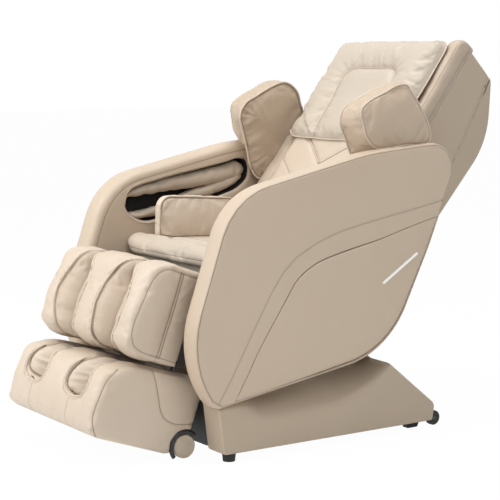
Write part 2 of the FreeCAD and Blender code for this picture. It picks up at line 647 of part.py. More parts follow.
def arm_airbags():
    """Air rolls along the roof and the floor of each arm channel."""
    x0, x1 = ARM_INNER + 2, ARM_INNER + CHANNEL_DEPTH - SOFT_GAP
    space = slab(channel_corners(SOFT_GAP, SOFT_GAP, SOFT_GAP), x0, x1)
    roof = space.cut(slab(channel_corners(-60, UPPER_ROLL, -60), x0 - 1, x1 + 1))
    floor = space.cut(slab(channel_corners(LOWER_ROLL, -60, -60), x0 - 1, x1 + 1))
    return Part.makeCompound([roof, floor, mirrored(roof), mirrored(floor)])


def air_pump():
    x = -SEAT_RAIL_X + RAIL_WIDTH / 2 + PUMP_PLAY
    body = block(x, x + PUMP_WIDTH, PUMP_FRONT, PUMP_FRONT + PUMP_LENGTH,
                 SEAT_RAIL_TOP - PUMP_HEIGHT, SEAT_RAIL_TOP)
    return body.makeFillet(10, [e for e in body.Edges if abs(e.Length - PUMP_HEIGHT) < 0.001])


def control_box():
    x = SEAT_RAIL_X - RAIL_WIDTH / 2 - CONTROL_PLAY
    body = block(BACK_ACTUATOR["x"] + CONTROL_GAP, x, CONTROL_FRONT, CONTROL_FRONT + CONTROL_LENGTH,
                 SEAT_RAIL_TOP - CONTROL_HEIGHT, SEAT_RAIL_TOP)
    return body.makeFillet(6, [e for e in body.Edges if abs(e.Length - CONTROL_HEIGHT) < 0.001])


def back_frame():
    """Guide rails, cross tubes, hinge plates with their pins, and the recline lever."""
    inner = BACK_HALF - WALL
    low, high = BACK_FOOT, BACK_TOP - 64
    front, rear = BACK_RAIL_FRONT, BACK_RAIL_FRONT + BACK_RAIL_DEPTH
    parts = [block(-inner, inner, front, rear, a, a + 26) for a in (low, high)]
    for side in (-1, 1):
        x = side * RAIL_PITCH
        parts.append(block(x - BACK_RAIL_WIDTH / 2, x + BACK_RAIL_WIDTH / 2, front, rear, low, high + 26))
        edge = side * (inner - 4 - PLATE / 2)
        plate = ear(edge - PLATE / 2, edge + PLATE / 2, (0, 0), ((rear, low), (front - 40, low + 26)),
                    BACK_PIN + 10, BACK_PIN - 1)
        parts.append(plate)
        parts.append(block(edge - PLATE / 2, edge + PLATE / 2, front - 40, rear, low, low + 26))
        tip = side * (SEAT_RAIL_X + RAIL_WIDTH / 2)
        parts.append(pin(min(edge, tip), max(edge, tip), 0, 0, BACK_PIN))
    x = BACK_ACTUATOR["x"]
    parts += clevis(x, BACK_LEVER, ((rear, low), (front, low)))
    return on_back(joined(parts))


def shell_split():
    """Everything behind the line where the rear cover starts."""
    points = REAR_COVER_FRONT
    region = Part.makePolygon([vec(-400, *p) for p in points] + [vec(-400, 400, 0), vec(-400, 400, 860),
                                                              vec(-400, *points[0])])
    return Part.Face(region).extrude(vec(800, 0, 0))


def back_skin():
    """Hollow backrest shell, open to the front and at its foot."""
    outer = eased(slab(SHELL_CORNERS, -BACK_HALF, BACK_HALF), (-BACK_HALF, BACK_HALF), 4.5)
    hollow = inner_slab(SHELL_CORNERS, WALL, -BACK_HALF + WALL, BACK_HALF - WALL)
    mouth = block(-BACK_HALF + WALL, BACK_HALF - WALL, -80, 20, BACK_FOOT - 1, BACK_TOP - 14)
    foot = block(-BACK_HALF + WALL, BACK_HALF - WALL, -80, 118, BACK_FOOT - 1, BACK_FOOT + 20)
    return outer.cut(hollow).cut(mouth).cut(foot)


def back_shell():
    return on_back(back_skin().cut(shell_split()))


def back_rear_cover():
    return on_back(back_skin().common(shell_split()))


def back_pad():
    """Front pad between the side pads, with the shallow channel down the spine."""
    half = BACK_HALF - SIDE_PAD_WIDTH - SOFT_GAP
    pad = block(-half, half, BACK_PAD_FRONT, BACK_PAD_REAR, BACK_FOOT, BACK_PAD_TOP)
    spine = block(-46, 46, BACK_PAD_FRONT - 1, BACK_PAD_FRONT + 10, BACK_FOOT - 1, PILLOW_BOTTOM)
    under_pillow = block(-half - 1, half + 1, BACK_PAD_FRONT - 1, PILLOW_REAR + SOFT_GAP,
                         PILLOW_BOTTOM - SOFT_GAP, BACK_PAD_TOP + 1)
    cap = block(-half, half, BACK_PAD_REAR - 1, BACK_PAD_REAR + BACK_CAP_DEPTH,
                BACK_PAD_TOP - BACK_CAP_HEIGHT, BACK_PAD_TOP)
    return on_back(joined([pad.cut(spine).cut(under_pillow), cap]))


def back_side_pad():
    return on_back(slab(SIDE_PAD_CORNERS, BACK_HALF - SIDE_PAD_WIDTH, BACK_HALF))


def shoulder_pad():
    """Wing beside the shoulders: a thin tongue inside the arm, flared above it."""
    x0 = BACK_HALF + SOFT_GAP
    tongue = slab(WING_CORNERS, x0, x0 + WING_NARROW)
    flare = slab(WING_FLARE_CORNERS, x0 + WING_NARROW - 4, x0 + WING_NARROW + WING_FLARE)
    toe = slab(WING_CORNERS, x0 - WING_TOE_IN, x0 + 4)
    toe = toe.common(block(0, HALF, -400, WING_TOE_FRONT, 250, 600))
    return on_back(joined([tongue, eased(flare, (x0 + WING_NARROW + WING_FLARE,), 9), toe]))


def head_pillow():
    """Loose pillow with the flap that it hangs from over the top of the back."""
    half = BACK_HALF - SIDE_PAD_WIDTH - PILLOW_SIDE_GAP
    pad = block(-half, half, PILLOW_FRONT, PILLOW_REAR, PILLOW_BOTTOM, PILLOW_TOP)
    corners = [e for e in pad.Edges if abs(e.Length - (PILLOW_REAR - PILLOW_FRONT)) < 0.001]
    pad = pad.makeFillet(28, corners)
    front = [e for e in pad.Edges if all(abs(v.Point.y - PILLOW_FRONT) < 0.001 for v in e.Vertexes)]
    flap = block(-half + 40, half - 40, PILLOW_REAR - PILLOW_FLAP, PILLOW_REAR,
                 PILLOW_TOP - 20, PILLOW_HINGE)
    return on_back(joined([pad.makeFillet(20, front), flap]))


def lift_screw():
    """Screw that carries the carriage up and down between the cross tubes."""
    b = BACK_RAIL_FRONT + BACK_RAIL_DEPTH / 2
    low = BACK_FOOT + 26 + SOFT_GAP
    length = BACK_TOP - 64 - SOFT_GAP - low
    return on_back(Part.makeCylinder(SCREW_RADIUS, length, vec(0, b, low), vec(0, 0, 1)))


def lift_motor():
    b = BACK_RAIL_FRONT + BACK_RAIL_DEPTH / 2
    can = Part.makeCylinder(24, 70, vec(0, b, BACK_FOOT - 70), vec(0, 0, 1))
    return on_back(can)


def carriage():
    """Plate across both rails with grooved shoes and the nut on the screw."""
    low, high = CARRIAGE_BOTTOM, CARRIAGE_BOTTOM + CARRIAGE_HEIGHT
    front = BACK_RAIL_FRONT - 18
    rail_half = BACK_RAIL_WIDTH / 2
    face = BACK_RAIL_FRONT - SOFT_GAP
    plate = block(-CARRIAGE_WIDTH / 2, CARRIAGE_WIDTH / 2, front, face, low, high)
    parts = [plate]
    middle = (low + high) / 2
    for edge in (RAIL_PITCH - rail_half - SOFT_GAP - 8, RAIL_PITCH + rail_half + SOFT_GAP):
        shoe = block(edge, edge + 8, front, BACK_RAIL_FRONT + 16, low, high)
        parts += [shoe, mirrored(shoe)]
    lug = ear(ROLLER_ARM_X - 18, ROLLER_ARM_X - 10, (ARM_PIVOT_B, middle),
              ((front, middle + 24), (front, middle - 24)), 12, 5)
    axle = pin(ROLLER_ARM_X - 18, ROLLER_ARM_X + 6, ARM_PIVOT_B, middle, ROLLER_PIN)
    parts += [lug, axle, mirrored(lug), mirrored(axle)]
    nut = block(-20, 20, front, BACK_RAIL_FRONT + BACK_RAIL_DEPTH, low + 50, low + 80)
    bore = Part.makeCylinder(SCREW_RADIUS + RUN, 60, vec(0, BACK_RAIL_FRONT + BACK_RAIL_DEPTH / 2,
                                                      low + 30), vec(0, 0, 1))
    motor = block(-34, 34, front - 46, front, low + 4, low + 46)
    return on_back(joined(parts + [nut, motor]).cut(bore))


def roller_arm():
    """Left kneading arm with a roller axle at each end."""
    x = ROLLER_ARM_X
    middle = CARRIAGE_BOTTOM + CARRIAGE_HEIGHT / 2
    tip_b = ARM_PIVOT_B - 30
    parts = []
    for end in (-1, 1):
        tip_a = middle + end * ARM_REACH
        parts.append(ear(x - 4, x + 4, (tip_b, tip_a), ((ARM_PIVOT_B + 12, middle),
                                                     (ARM_PIVOT_B - 12, middle))[::end], 11, 2))
        parts.append(pin(x - 4, x + 6 + ROLLER_WIDTH, tip_b, tip_a, ROLLER_PIN))
    parts.append(pin(x - 4, x + 4, ARM_PIVOT_B, middle, 15))
    bore = pin(x - 5, x + 7, ARM_PIVOT_B, middle, ROLLER_PIN + RUN)
    return on_back(joined(parts).cut(bore))


def massage_roller(end):
    x0 = ROLLER_ARM_X + 5
    b = ARM_PIVOT_B - 30
    a = CARRIAGE_BOTTOM + CARRIAGE_HEIGHT / 2 + end * ARM_REACH
    ball = eased(pin(x0, x0 + ROLLER_WIDTH, b, a, ROLLER_RADIUS), (x0, x0 + ROLLER_WIDTH), 10)
    return on_back(ball.cut(pin(x0 - 1, x0 + ROLLER_WIDTH + 1, b, a, ROLLER_PIN + RUN)))


def legrest_frame():
    """Side arms hung on pins, two cross bars and the sleeves of the foot slides."""
    arm_in, arm_out = LEG_ARM_X - LEG_ARM_WIDTH / 2, LEG_ARM_X + LEG_ARM_WIDTH / 2
    rear = -CALF_REAR - 2
    parts = [block(-arm_in, arm_in, CALF_REAR, rear, a, a + 26) for a in (-70, -CALF_LENGTH + 30)]
    bores = []
    lug_outer = SEAT_RAIL_X - RAIL_WIDTH / 2 + PLATE
    for side in (-1, 1):
        arm = block(min(side * arm_in, side * arm_out), max(side * arm_in, side * arm_out),
                    CALF_REAR, rear, -CALF_LENGTH + 6, 0)
        boss = pin(min(side * arm_in, side * arm_out), max(side * arm_in, side * arm_out), 0, 0,
                   -CALF_REAR)
        parts += [arm, boss, pin(min(side * arm_in, side * lug_outer),
                                 max(side * arm_in, side * lug_outer), 0, 0, LEG_PIN)]
        x = side * SLIDE_X
        parts.append(block(x - 15, x + 15, CALF_REAR, rear, -CALF_LENGTH + 4, SLIDE_TOP + 20))
        bores.append(Part.makeCylinder(SLIDE_RADIUS + RUN, CALF_LENGTH + 40,
                                       vec(x, (CALF_REAR + rear) / 2, -CALF_LENGTH - 10), vec(0, 0, 1)))
    parts += clevis(LEG_ACTUATOR["x"], LEG_LEVER, ((rear, LEG_LEVER[1] - 18), (rear, LEG_LEVER[1] + 18)))
    parts.append(block(-20, 20, CALF_REAR, rear, -CALF_LENGTH + 30, -50))
    return on_leg(joined(parts).cut(joined(bores)))


def calf_shell():
    """Moulded tray behind the calf pads, open to the rear."""
    low, high = -CALF_LENGTH + 2, CALF_TOP - 2
    outer = block(-LEG_HALF, LEG_HALF, CALF_SEAM + SOFT_GAP, CALF_REAR - SOFT_GAP, low, high)
    hollow = block(-LEG_HALF + WALL, LEG_HALF - WALL, CALF_SEAM + WALL, CALF_REAR + 1,
                   low + WALL, high - WALL)
    return on_leg(outer.cut(hollow))


def calf_outer_pad():
    x0 = MIDDLE_PAD_HALF + CALF_CHANNEL_WIDTH
    return on_leg(eased(slab(CALF_PAD_CORNERS, x0, LEG_HALF), (x0, LEG_HALF), 7))


def calf_middle_pad():
    pad = slab(CALF_PAD_CORNERS, -MIDDLE_PAD_HALF, MIDDLE_PAD_HALF)
    return on_leg(eased(pad, (-MIDDLE_PAD_HALF, MIDDLE_PAD_HALF), 7))


def calf_airbags():
    """Air pads on the floor of each calf channel."""
    x0, x1 = MIDDLE_PAD_HALF + SIDE_PLAY, MIDDLE_PAD_HALF + CALF_CHANNEL_WIDTH - SIDE_PLAY
    pad = block(x0, x1, CALF_SEAM - CALF_AIRBAG, CALF_SEAM, -CALF_LENGTH + 10, CALF_TOP - 10)
    pad = pad.makeFillet(8, [e for e in pad.Edges if all(v.Point.y < CALF_SEAM - 1 for v in e.Vertexes)])
    return on_leg(pair(pad))


def pocket():
    """Space of the left foot: a boot shape open at the top and down the front."""
    x0, x1 = POCKET_X - POCKET_HALF, POCKET_X + POCKET_HALF
    boot = block(x0, x1, POCKET_TOE, POCKET_HEEL, POCKET_FLOOR, FOOT_TOP + 72)
    notch = block(x0, x1, -300, POCKET_TOE + 60, NOTCH_BOTTOM + POCKET_HALF, FOOT_TOP + 72)
    round_end = Part.makeCylinder(POCKET_HALF, 360 + POCKET_TOE,
                                  vec(POCKET_X, -300, NOTCH_BOTTOM + POCKET_HALF), vec(0, 1, 0))
    round_end = round_end.common(block(x0, x1, -300, POCKET_TOE + 60, FOOT_SOLE, FOOT_TOP + 72))
    return joined([boot, notch, round_end])


def foot_shell():
    """Upholstered foot unit with two boots, roller wells, wheel arches and slide sockets."""
    body = eased(slab(FOOT_CORNERS, -LEG_HALF, LEG_HALF), (-LEG_HALF, LEG_HALF), 7)
    boots = pocket()
    wells = pin(POCKET_X - 44, POCKET_X + 44, FOOT_ROLLER_B, FOOT_ROLLER_A, FOOT_ROLLER_RADIUS + 2)
    arch = pin(LEG_HALF - ARCH_DEPTH, LEG_HALF + 1, WHEEL_B, WHEEL_A, ARCH_RADIUS)
    socket = Part.makeCylinder(SLIDE_RADIUS + RUN, SLIDE_DEPTH + 110, vec(SLIDE_X, -1, SLIDE_BOTTOM - SLIDE_DEPTH),
                               vec(0, 0, 1))
    cuts = [boots, wells, arch, socket]
    reach = POCKET_X + FOOT_ROLLER_REACH + 2
    axle = pin(-reach, reach, FOOT_ROLLER_B, FOOT_ROLLER_A, FOOT_ROLLER_AXLE + RUN)
    for shape in cuts:
        body = body.cut(shape).cut(mirrored(shape))
    return on_leg(body.cut(axle))


def foot_liners():
    """In each boot: an insole with a window for the roller, and a cheek pad each side."""
    x0, x1 = POCKET_X - POCKET_HALF + SOFT_GAP, POCKET_X + POCKET_HALF - SOFT_GAP
    insole = block(x0, x1, POCKET_TOE + 1, POCKET_HEEL - 1, POCKET_FLOOR, POCKET_FLOOR + INSOLE)
    window = block(POCKET_X - 42, POCKET_X + 42, FOOT_ROLLER_B - 22, FOOT_ROLLER_B + 22,
                   POCKET_FLOOR - 1, POCKET_FLOOR + INSOLE + 1)
    insole = insole.cut(window)
    pads = []
    for edge in (x0, x1 - CHEEK_PAD):
        pads.append(block(edge, edge + CHEEK_PAD, POCKET_TOE + 70, POCKET_HEEL - 4,
                          POCKET_FLOOR + INSOLE + SOFT_GAP, FOOT_TOP - 28))
    side = [insole] + pads
    return on_leg(Part.makeCompound(side + [mirrored(s) for s in side]))


def foot_roller():
    """One driven shaft with a roller under each foot."""
    drum = pin(POCKET_X - 40, POCKET_X + 40, FOOT_ROLLER_B, FOOT_ROLLER_A, FOOT_ROLLER_RADIUS)
    reach = POCKET_X + FOOT_ROLLER_REACH
    shaft = pin(-reach, reach, FOOT_ROLLER_B, FOOT_ROLLER_A, FOOT_ROLLER_AXLE)
    return on_leg(joined([shaft, drum, mirrored(drum)]))


def wheel_arches():
    """Black cup over each front wheel, with its axle."""
    x0, x1 = LEG_HALF - ARCH_DEPTH + SOFT_GAP, LEG_HALF - 4
    radius = ARCH_RADIUS - SOFT_GAP
    cup = pin(x0, x1, WHEEL_B, WHEEL_A, radius)
    cup = cup.cut(pin(x0 + 5, x1 + 1, WHEEL_B, WHEEL_A, radius - ARCH_WALL))
    bottom = block(x0 - 1, x1 + 1, -100, 200, -600, FOOT_CORNERS[-1][1] + 8)
    (rear_b, rear_a, _), (sole_b, sole_a, _) = FOOT_CORNERS[3:]
    corner = Part.Face(Part.makePolygon([vec(x0 - 1, rear_b, rear_a), vec(x0 - 1, sole_b, sole_a),
                                         vec(x0 - 1, 200, sole_a), vec(x0 - 1, 200, rear_a),
                                         vec(x0 - 1, rear_b, rear_a)])).extrude(vec(60, 0, 0))
    rear = block(x0 - 1, x1 + 1, FOOT_CORNERS[2][0], 200, -600, -300)
    cup = cup.cut(bottom).cut(corner).cut(rear)
    axle = pin(x0, x0 + 9 + WHEEL_WIDTH, WHEEL_B, WHEEL_A, WHEEL_PIN)
    hub = pin(x0, x0 + 5, WHEEL_B, WHEEL_A, 14)
    return on_leg(pair(joined([cup, hub, axle])))


def front_wheel():
    x0 = LEG_HALF - ARCH_DEPTH + 8
    wheel = eased(pin(x0, x0 + WHEEL_WIDTH, WHEEL_B, WHEEL_A, WHEEL_RADIUS),
                  (x0, x0 + WHEEL_WIDTH), 4)
    return on_leg(wheel.cut(pin(x0 - 1, x0 + WHEEL_WIDTH + 1, WHEEL_B, WHEEL_A, WHEEL_PIN + RUN)))


def foot_slides():
    """Two rods that carry the foot unit in the leg rest's sleeves."""
    length = SLIDE_TOP - SLIDE_BOTTOM + SLIDE_DEPTH
    rod = Part.makeCylinder(SLIDE_RADIUS, length, vec(SLIDE_X, -1, SLIDE_BOTTOM - SLIDE_DEPTH), vec(0, 0, 1))
    return on_leg(pair(rod))


def save(node, shape):
    moved = shape.copy()
    moved.translate(vec(0, -ORIGIN_Y, 0))
    moved.exportStep(f"parts/{node}.step")
    box = moved.BoundBox
    print(f"{node:24s} solids {len(moved.Solids)} valid {moved.isValid()} "
          f"x {box.XMin:7.1f} {box.XMax:7.1f} y {box.YMin:7.1f} {box.YMax:7.1f} "
          f"z {box.ZMin:7.1f} {box.ZMax:7.1f}")
    return moved


def build():
    os.makedirs("parts", exist_ok=True)
    nodes = {
        "base_frame": base_frame(),
        "base_rear_cover": base_rear_cover(),
        "base_front_guard": base_front_guard(),
        "rubber_feet": rubber_feet(),
        "power_inlet": power_inlet(),
        "power_switch": power_switch(),
        "seat_frame": seat_frame(),
        "seat_pan": seat_pan(),
        "seat_cushion": seat_cushion(),
        "accent_bars": pair(accent_bar()),
        "arm_airbags": arm_airbags(),
        "air_pump": air_pump(),
        "control_box": control_box(),
        "back_frame": back_frame(),
        "back_shell": back_shell(),
        "back_rear_cover": back_rear_cover(),
        "back_pad": back_pad(),
        "head_pillow": head_pillow(),
        "lift_screw": lift_screw(),
        "lift_motor": lift_motor(),
        "carriage": carriage(),
        "legrest_frame": legrest_frame(),
        "calf_shell": calf_shell(),
        "calf_middle_pad": calf_middle_pad(),
        "calf_airbags": calf_airbags(),
        "foot_shell": foot_shell(),
        "foot_liners": foot_liners(),
        "foot_roller": foot_roller(),
        "foot_slides": foot_slides(),
        "wheel_arches": wheel_arches(),
    }
    sided = {
        "base_cover": base_cover(),
        "caster_wheel": caster_wheel(),
        "side_panel": side_panel(),
        "side_insert": side_insert(),
        "hip_pad": hip_pad(),
        "back_side_pad": back_side_pad(),
        "shoulder_pad": shoulder_pad(),
        "calf_pad": calf_outer_pad(),
        "front_wheel": front_wheel(),
        "roller_arm": roller_arm(),
        "massage_roller_upper": massage_roller(1),
        "massage_roller_lower": massage_roller(-1),
    }
    for name, shape in sided.items():
        nodes[name + "_left"] = shape
        nodes[name + "_right"] = mirrored(shape)
    for name, plan in (("tilt", TILT_ACTUATOR), ("back", BACK_ACTUATOR), ("leg", LEG_ACTUATOR)):
        nodes[f"{name}_actuator_body"], nodes[f"{name}_actuator_rod"] = actuator(plan)
    return {node: save(node, shape) for node, shape in nodes.items()}


made = build()
print(len(made), "nodes")
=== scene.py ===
import math

import bpy
import numpy as np
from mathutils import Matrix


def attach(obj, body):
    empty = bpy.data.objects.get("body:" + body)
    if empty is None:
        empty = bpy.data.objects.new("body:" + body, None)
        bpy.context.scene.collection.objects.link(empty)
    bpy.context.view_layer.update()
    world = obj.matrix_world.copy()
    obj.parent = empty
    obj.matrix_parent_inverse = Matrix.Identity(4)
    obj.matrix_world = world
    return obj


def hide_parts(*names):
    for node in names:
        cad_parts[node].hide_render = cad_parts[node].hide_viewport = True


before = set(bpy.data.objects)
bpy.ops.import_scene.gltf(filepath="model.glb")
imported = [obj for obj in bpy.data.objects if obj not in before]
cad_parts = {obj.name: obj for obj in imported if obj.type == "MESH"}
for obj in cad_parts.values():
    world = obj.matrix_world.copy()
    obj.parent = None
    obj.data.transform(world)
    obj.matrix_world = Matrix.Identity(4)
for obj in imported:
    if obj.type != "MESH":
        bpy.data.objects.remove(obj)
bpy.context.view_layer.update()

# ---- Camera, floor and studio light -------------------------------------------------
# The chair stands on a white studio floor that fades into a white backdrop. Large soft
# lamps high at the foot end and overhead light the front and the tops, and a weaker one
# the near side.
def node(tree, kind, values=(), **settings):
    """New node with its settings, and values for its numbered or named inputs: a value, or
    the output of another node to link to it."""
    made = tree.nodes.new("ShaderNode" + kind)
    for key, value in settings.items():
        setattr(made, key, value)
    for key, value in dict(values).items():
        if isinstance(value, bpy.types.NodeSocket):
            tree.links.new(value, made.inputs[key])
        else:
            made.inputs[key].default_value = value
    return made


def seen_rays(tree):
    """1 for a ray from the camera, through clear matter or off a gloss, and 0 for others:
    the greatest of the light path's three flags."""
    path = node(tree, "LightPath")
    first = node(tree, "Math",
                 {0: path.outputs["Is Camera Ray"], 1: path.outputs["Is Transmission Ray"]},
                 operation="MAXIMUM")
    return node(tree, "Math", {0: first.outputs[0], 1: path.outputs["Is Glossy Ray"]},
                operation="MAXIMUM").outputs[0]


camera = bpy.data.objects.new("camera", bpy.data.cameras.new("camera"))
camera.location = (3.71, -2.5115, 1.074)
camera.rotation_euler = (math.radians(83.04), 0, math.radians(56.0))
camera.data.lens = 108.07
camera.data.sensor_width = 36
bpy.context.scene.collection.objects.link(camera)
bpy.context.scene.camera = camera
bpy.context.scene.view_settings.view_transform = "Standard"

world = bpy.data.worlds.new("studio")
world.use_nodes = True
bpy.context.scene.world = world
tree = world.node_tree
sky = tree.nodes["Background"]
sky.inputs["Color"].default_value = (1, 1, 1, 1)
strength = node(tree, "MapRange", {0: seen_rays(tree), 3: 0.37, 4: 1.0})
tree.links.new(strength.outputs[0], sky.inputs["Strength"])


def lamp(name, place, aim, size, watts):
    """Square area lamp of a side length at a place, its axis along aim - place."""
    data = bpy.data.lights.new(name, "AREA")
    data.size, data.energy = size, watts
    light = bpy.data.objects.new(name, data)
    light.location = place
    way = np.array(aim, float) - np.array(place, float)
    light.rotation_euler = (math.atan2(math.hypot(way[0], way[1]), -way[2]), 0,
                            math.atan2(-way[0], way[1]))
    bpy.context.scene.collection.objects.link(light)


lamp("lamp_foot_end", (-0.7, -3.4, 2.4), (0, 0, 0.5), 2.4, 108)
lamp("lamp_top", (0.4, 0.1, 4.2), (0, 0, 0.5), 2.6, 112)
lamp("lamp_near_side", (2.3, -0.7, 2.0), (0, 0, 0.5), 1.4, 12.5)

floor_mesh = bpy.data.meshes.new("floor")
floor_mesh.from_pydata([(-30, -30, 0), (30, -30, 0), (30, 30, 0), (-30, 30, 0)], [],
                       [(0, 1, 2, 3)])
floor = bpy.data.objects.new("floor", floor_mesh)
bpy.context.scene.collection.objects.link(floor)
paint = bpy.data.materials.new("studio_floor")
paint.use_nodes = True
tree = paint.node_tree
base = tree.nodes["Principled BSDF"]
base.inputs["Base Color"].default_value = (0.93, 0.93, 0.93, 1)
base.inputs["Roughness"].default_value = 0.9
glow = node(tree, "Emission", {"Color": (1, 1, 1, 1)})
share = node(tree, "Math", {0: seen_rays(tree), 1: 0.975}, operation="MULTIPLY")
mixed = node(tree, "MixShader", {0: share.outputs[0], 1: base.outputs[0], 2: glow.outputs[0]})
tree.links.new(mixed.outputs[0], tree.nodes["Material Output"].inputs["Surface"])
floor.data.materials.append(paint)

# ---- Side panels --------------------------------------------------------------------
# A tall board each side, padded with thin foam and covered in beige leather: an outer
# face, a wrap-round band sewn to it just inside the edge, and an inner face with a
# piped channel for the forearm. They are bolted to the seat frame and tilt with it.
FRONT_FOOT_Y = -309.5  # millimetres; lengths along the chair are counted from the front foot


def rounded(corners):
    """Dense closed line through corners (p, q, r): each corner becomes the arc of radius r
    that touches both its edges, its centre on the corner's bisector."""
    line = []
    for i, (p, q, r) in enumerate(corners):
        here = np.array([p, q], float)
        back = np.array(corners[i - 1][:2], float) - here
        ahead = np.array(corners[(i + 1) % len(corners)][:2], float) - here
        back, ahead = back / np.hypot(*back), ahead / np.hypot(*ahead)
        half = math.acos(np.clip(back @ ahead, -1, 1)) / 2
        middle = (back + ahead) / np.hypot(*(back + ahead))
        centre = here + middle * r / math.sin(half)
        turn = np.linspace(-1, 1, 40) * (math.pi / 2 - half)
        side = np.array([-middle[1], middle[0]])
        side *= np.sign(side @ ahead)
        line.append(centre - middle * r * np.cos(turn)[:, None] + side * r * np.sin(turn)[:, None])
    return np.vstack(line)


def evenly(line, count, closed=True):
    """The line at count places, equally far apart along its length."""
    if closed:
        line = np.vstack([line, line[:1]])
    length = np.concatenate([[0], np.cumsum(np.hypot(*np.diff(line[:, :2], axis=0).T))])
    places = np.linspace(0, length[-1], count, endpoint=not closed)
    return np.stack([np.interp(places, length, line[:, k]) for k in range(line.shape[1])], axis=-1)


def read_off(place, points):
    """The second number of a line of points at each place along its first, straight
    between the points."""
    return np.interp(place, *np.array(points, float).T)


def through(points, count=400):
    """Smooth open line through points: Catmull-Rom cubics over their chord lengths."""
    p = np.array(points, float)
    t = np.concatenate([[0], np.cumsum(np.hypot(*np.diff(p, axis=0).T))])
    slope = np.gradient(p, t, axis=0)
    u = np.linspace(0, t[-1], count)
    i = np.clip(np.searchsorted(t, u) - 1, 0, len(t) - 2)
    span = (t[i + 1] - t[i])[:, None]
    f = (u - t[i])[:, None] / span
    return ((2 * f**3 - 3 * f**2 + 1) * p[i] + (f**3 - 2 * f**2 + f) * span * slope[i]
            + (3 * f**2 - 2 * f**3) * p[i + 1] + (f**3 - f**2) * span * slope[i + 1])


def reach(line, centre, angle):
    """How far a closed line lies from its centre in each direction, by its own angle."""
    way = line - np.array(centre)
    return np.interp(angle, np.arctan2(way[:, 1], way[:, 0]), np.hypot(way[:, 0], way[:, 1]),
                     period=2 * math.pi)


def inward(loop):
    """Unit normals of a closed line towards its inside: its tangent turned by 90 degrees."""
    along = np.roll(loop, -1, 0) - np.roll(loop, 1, 0)
    normal = np.stack([-along[:, 1], along[:, 0]], -1) / np.hypot(*along.T)[:, None]
    return normal * np.sign(np.sum(normal * (loop.mean(0) - loop)))


def on_chair(x, y, z):
    """Chair lengths in millimetres as a place in metres."""
    x, y, z = np.broadcast_arrays(x, y, z)
    return np.stack([x, y + FRONT_FOOT_Y, z], -1) / 1000


def meshed(name, points, faces):
    """Smooth-shaded piece from points in metres and lists of point numbers."""
    mesh = bpy.data.meshes.new(name)
    mesh.from_pydata(points, [], faces)
    mesh.polygons.foreach_set("use_smooth", [True] * len(mesh.polygons))
    piece = bpy.data.objects.new(name, mesh)
    bpy.context.scene.collection.objects.link(piece)
    return piece


def skin(name, rows):
    """Closed mesh from rows of closed loops, an array rows x around x 3 in metres: quads
    between neighbours, and a fan from the mean point of the first and of the last loop.
    Where the volume under the faces is negative the faces are turned over."""
    rings, around = rows.shape[:2]
    point = np.vstack([rows.reshape(-1, 3), rows[0].mean(0), rows[-1].mean(0)])
    grid = np.arange(rings * around).reshape(rings, around)
    ahead = np.roll(grid, -1, 1)
    quads = np.stack([grid[:-1], ahead[:-1], ahead[1:], grid[1:]], -1).reshape(-1, 4)
    ends = len(point) - 2
    fans = np.vstack([np.stack([np.full(around, ends), ahead[0], grid[0]], -1),
                      np.stack([np.full(around, ends + 1), grid[-1], ahead[-1]], -1)])
    a, b, c = (point[np.vstack([quads[:, [0, 1, 2]], quads[:, [0, 2, 3]], fans])[:, k]]
               for k in range(3))
    if np.sum(a * np.cross(b, c)) < 0:
        quads, fans = quads[:, ::-1], fans[:, ::-1]
    return meshed(name, point.tolist(), quads.tolist() + fans.tolist())


def points_of(piece):
    """The piece's vertices as an array, in metres."""
    flat = np.empty(len(piece.data.vertices) * 3, np.float32)
    piece.data.vertices.foreach_get("co", flat)
    return flat.reshape(-1, 3).astype(float)


def normals_of(piece):
    """The piece's vertex normals as an array."""
    flat = np.empty(len(piece.data.vertices) * 3, np.float32)
    piece.data.vertex_normals.foreach_get("vector", flat)
    return flat.reshape(-1, 3).astype(float)


def placed(piece, spots):
    """Puts the vertices at an array of places in metres."""
    piece.data.vertices.foreach_set("co", spots.astype(np.float32).ravel())
    piece.data.update()


def chair_flat(piece):
    """The piece's vertices as millimetres across, along and up the chair."""
    spot = points_of(piece) * 1000
    spot[:, 1] -= FRONT_FOOT_Y
    return spot


def face_middles(piece):
    """The middle of each face, in metres."""
    flat = np.empty(len(piece.data.polygons) * 3, np.float32)
    piece.data.polygons.foreach_get("center", flat)
    return flat.reshape(-1, 3)


def offset_from(line, p, closed=False):
    """For points p, in millimetres: the signed distance from a line, and the length along
    it of the nearest place. The sign is the side of the nearest run; an open line's
    length runs on past its ends, so that it can be cut off there."""
    line = np.array(line, float)
    if closed:
        line = np.vstack([line, line[:1]])
    start, run = line[:-1], np.diff(line, axis=0)
    size = np.hypot(*run.T)
    before = np.concatenate([[0], np.cumsum(size)])
    best, side, along = np.full(len(p), 1e9), np.zeros(len(p)), np.zeros(len(p))
    for i in range(len(run)):
        way = p - start[i]
        t = way @ run[i] / size[i] ** 2
        low = -1e3 if i == 0 and not closed else 0
        high = 1e3 if i == len(run) - 1 and not closed else 1
        held = np.clip(t, low, high)
        off = way - held[:, None] * run[i]
        gap = np.hypot(*off.T)
        near = gap < best
        best = np.where(near, gap, best)
        cross = run[i, 0] * way[:, 1] - run[i, 1] * way[:, 0]
        side = np.where(near, np.where(cross < 0, -1.0, 1.0), side)
        along = np.where(near, before[i] + held * size[i], along)
    return best * side, along, before[-1]


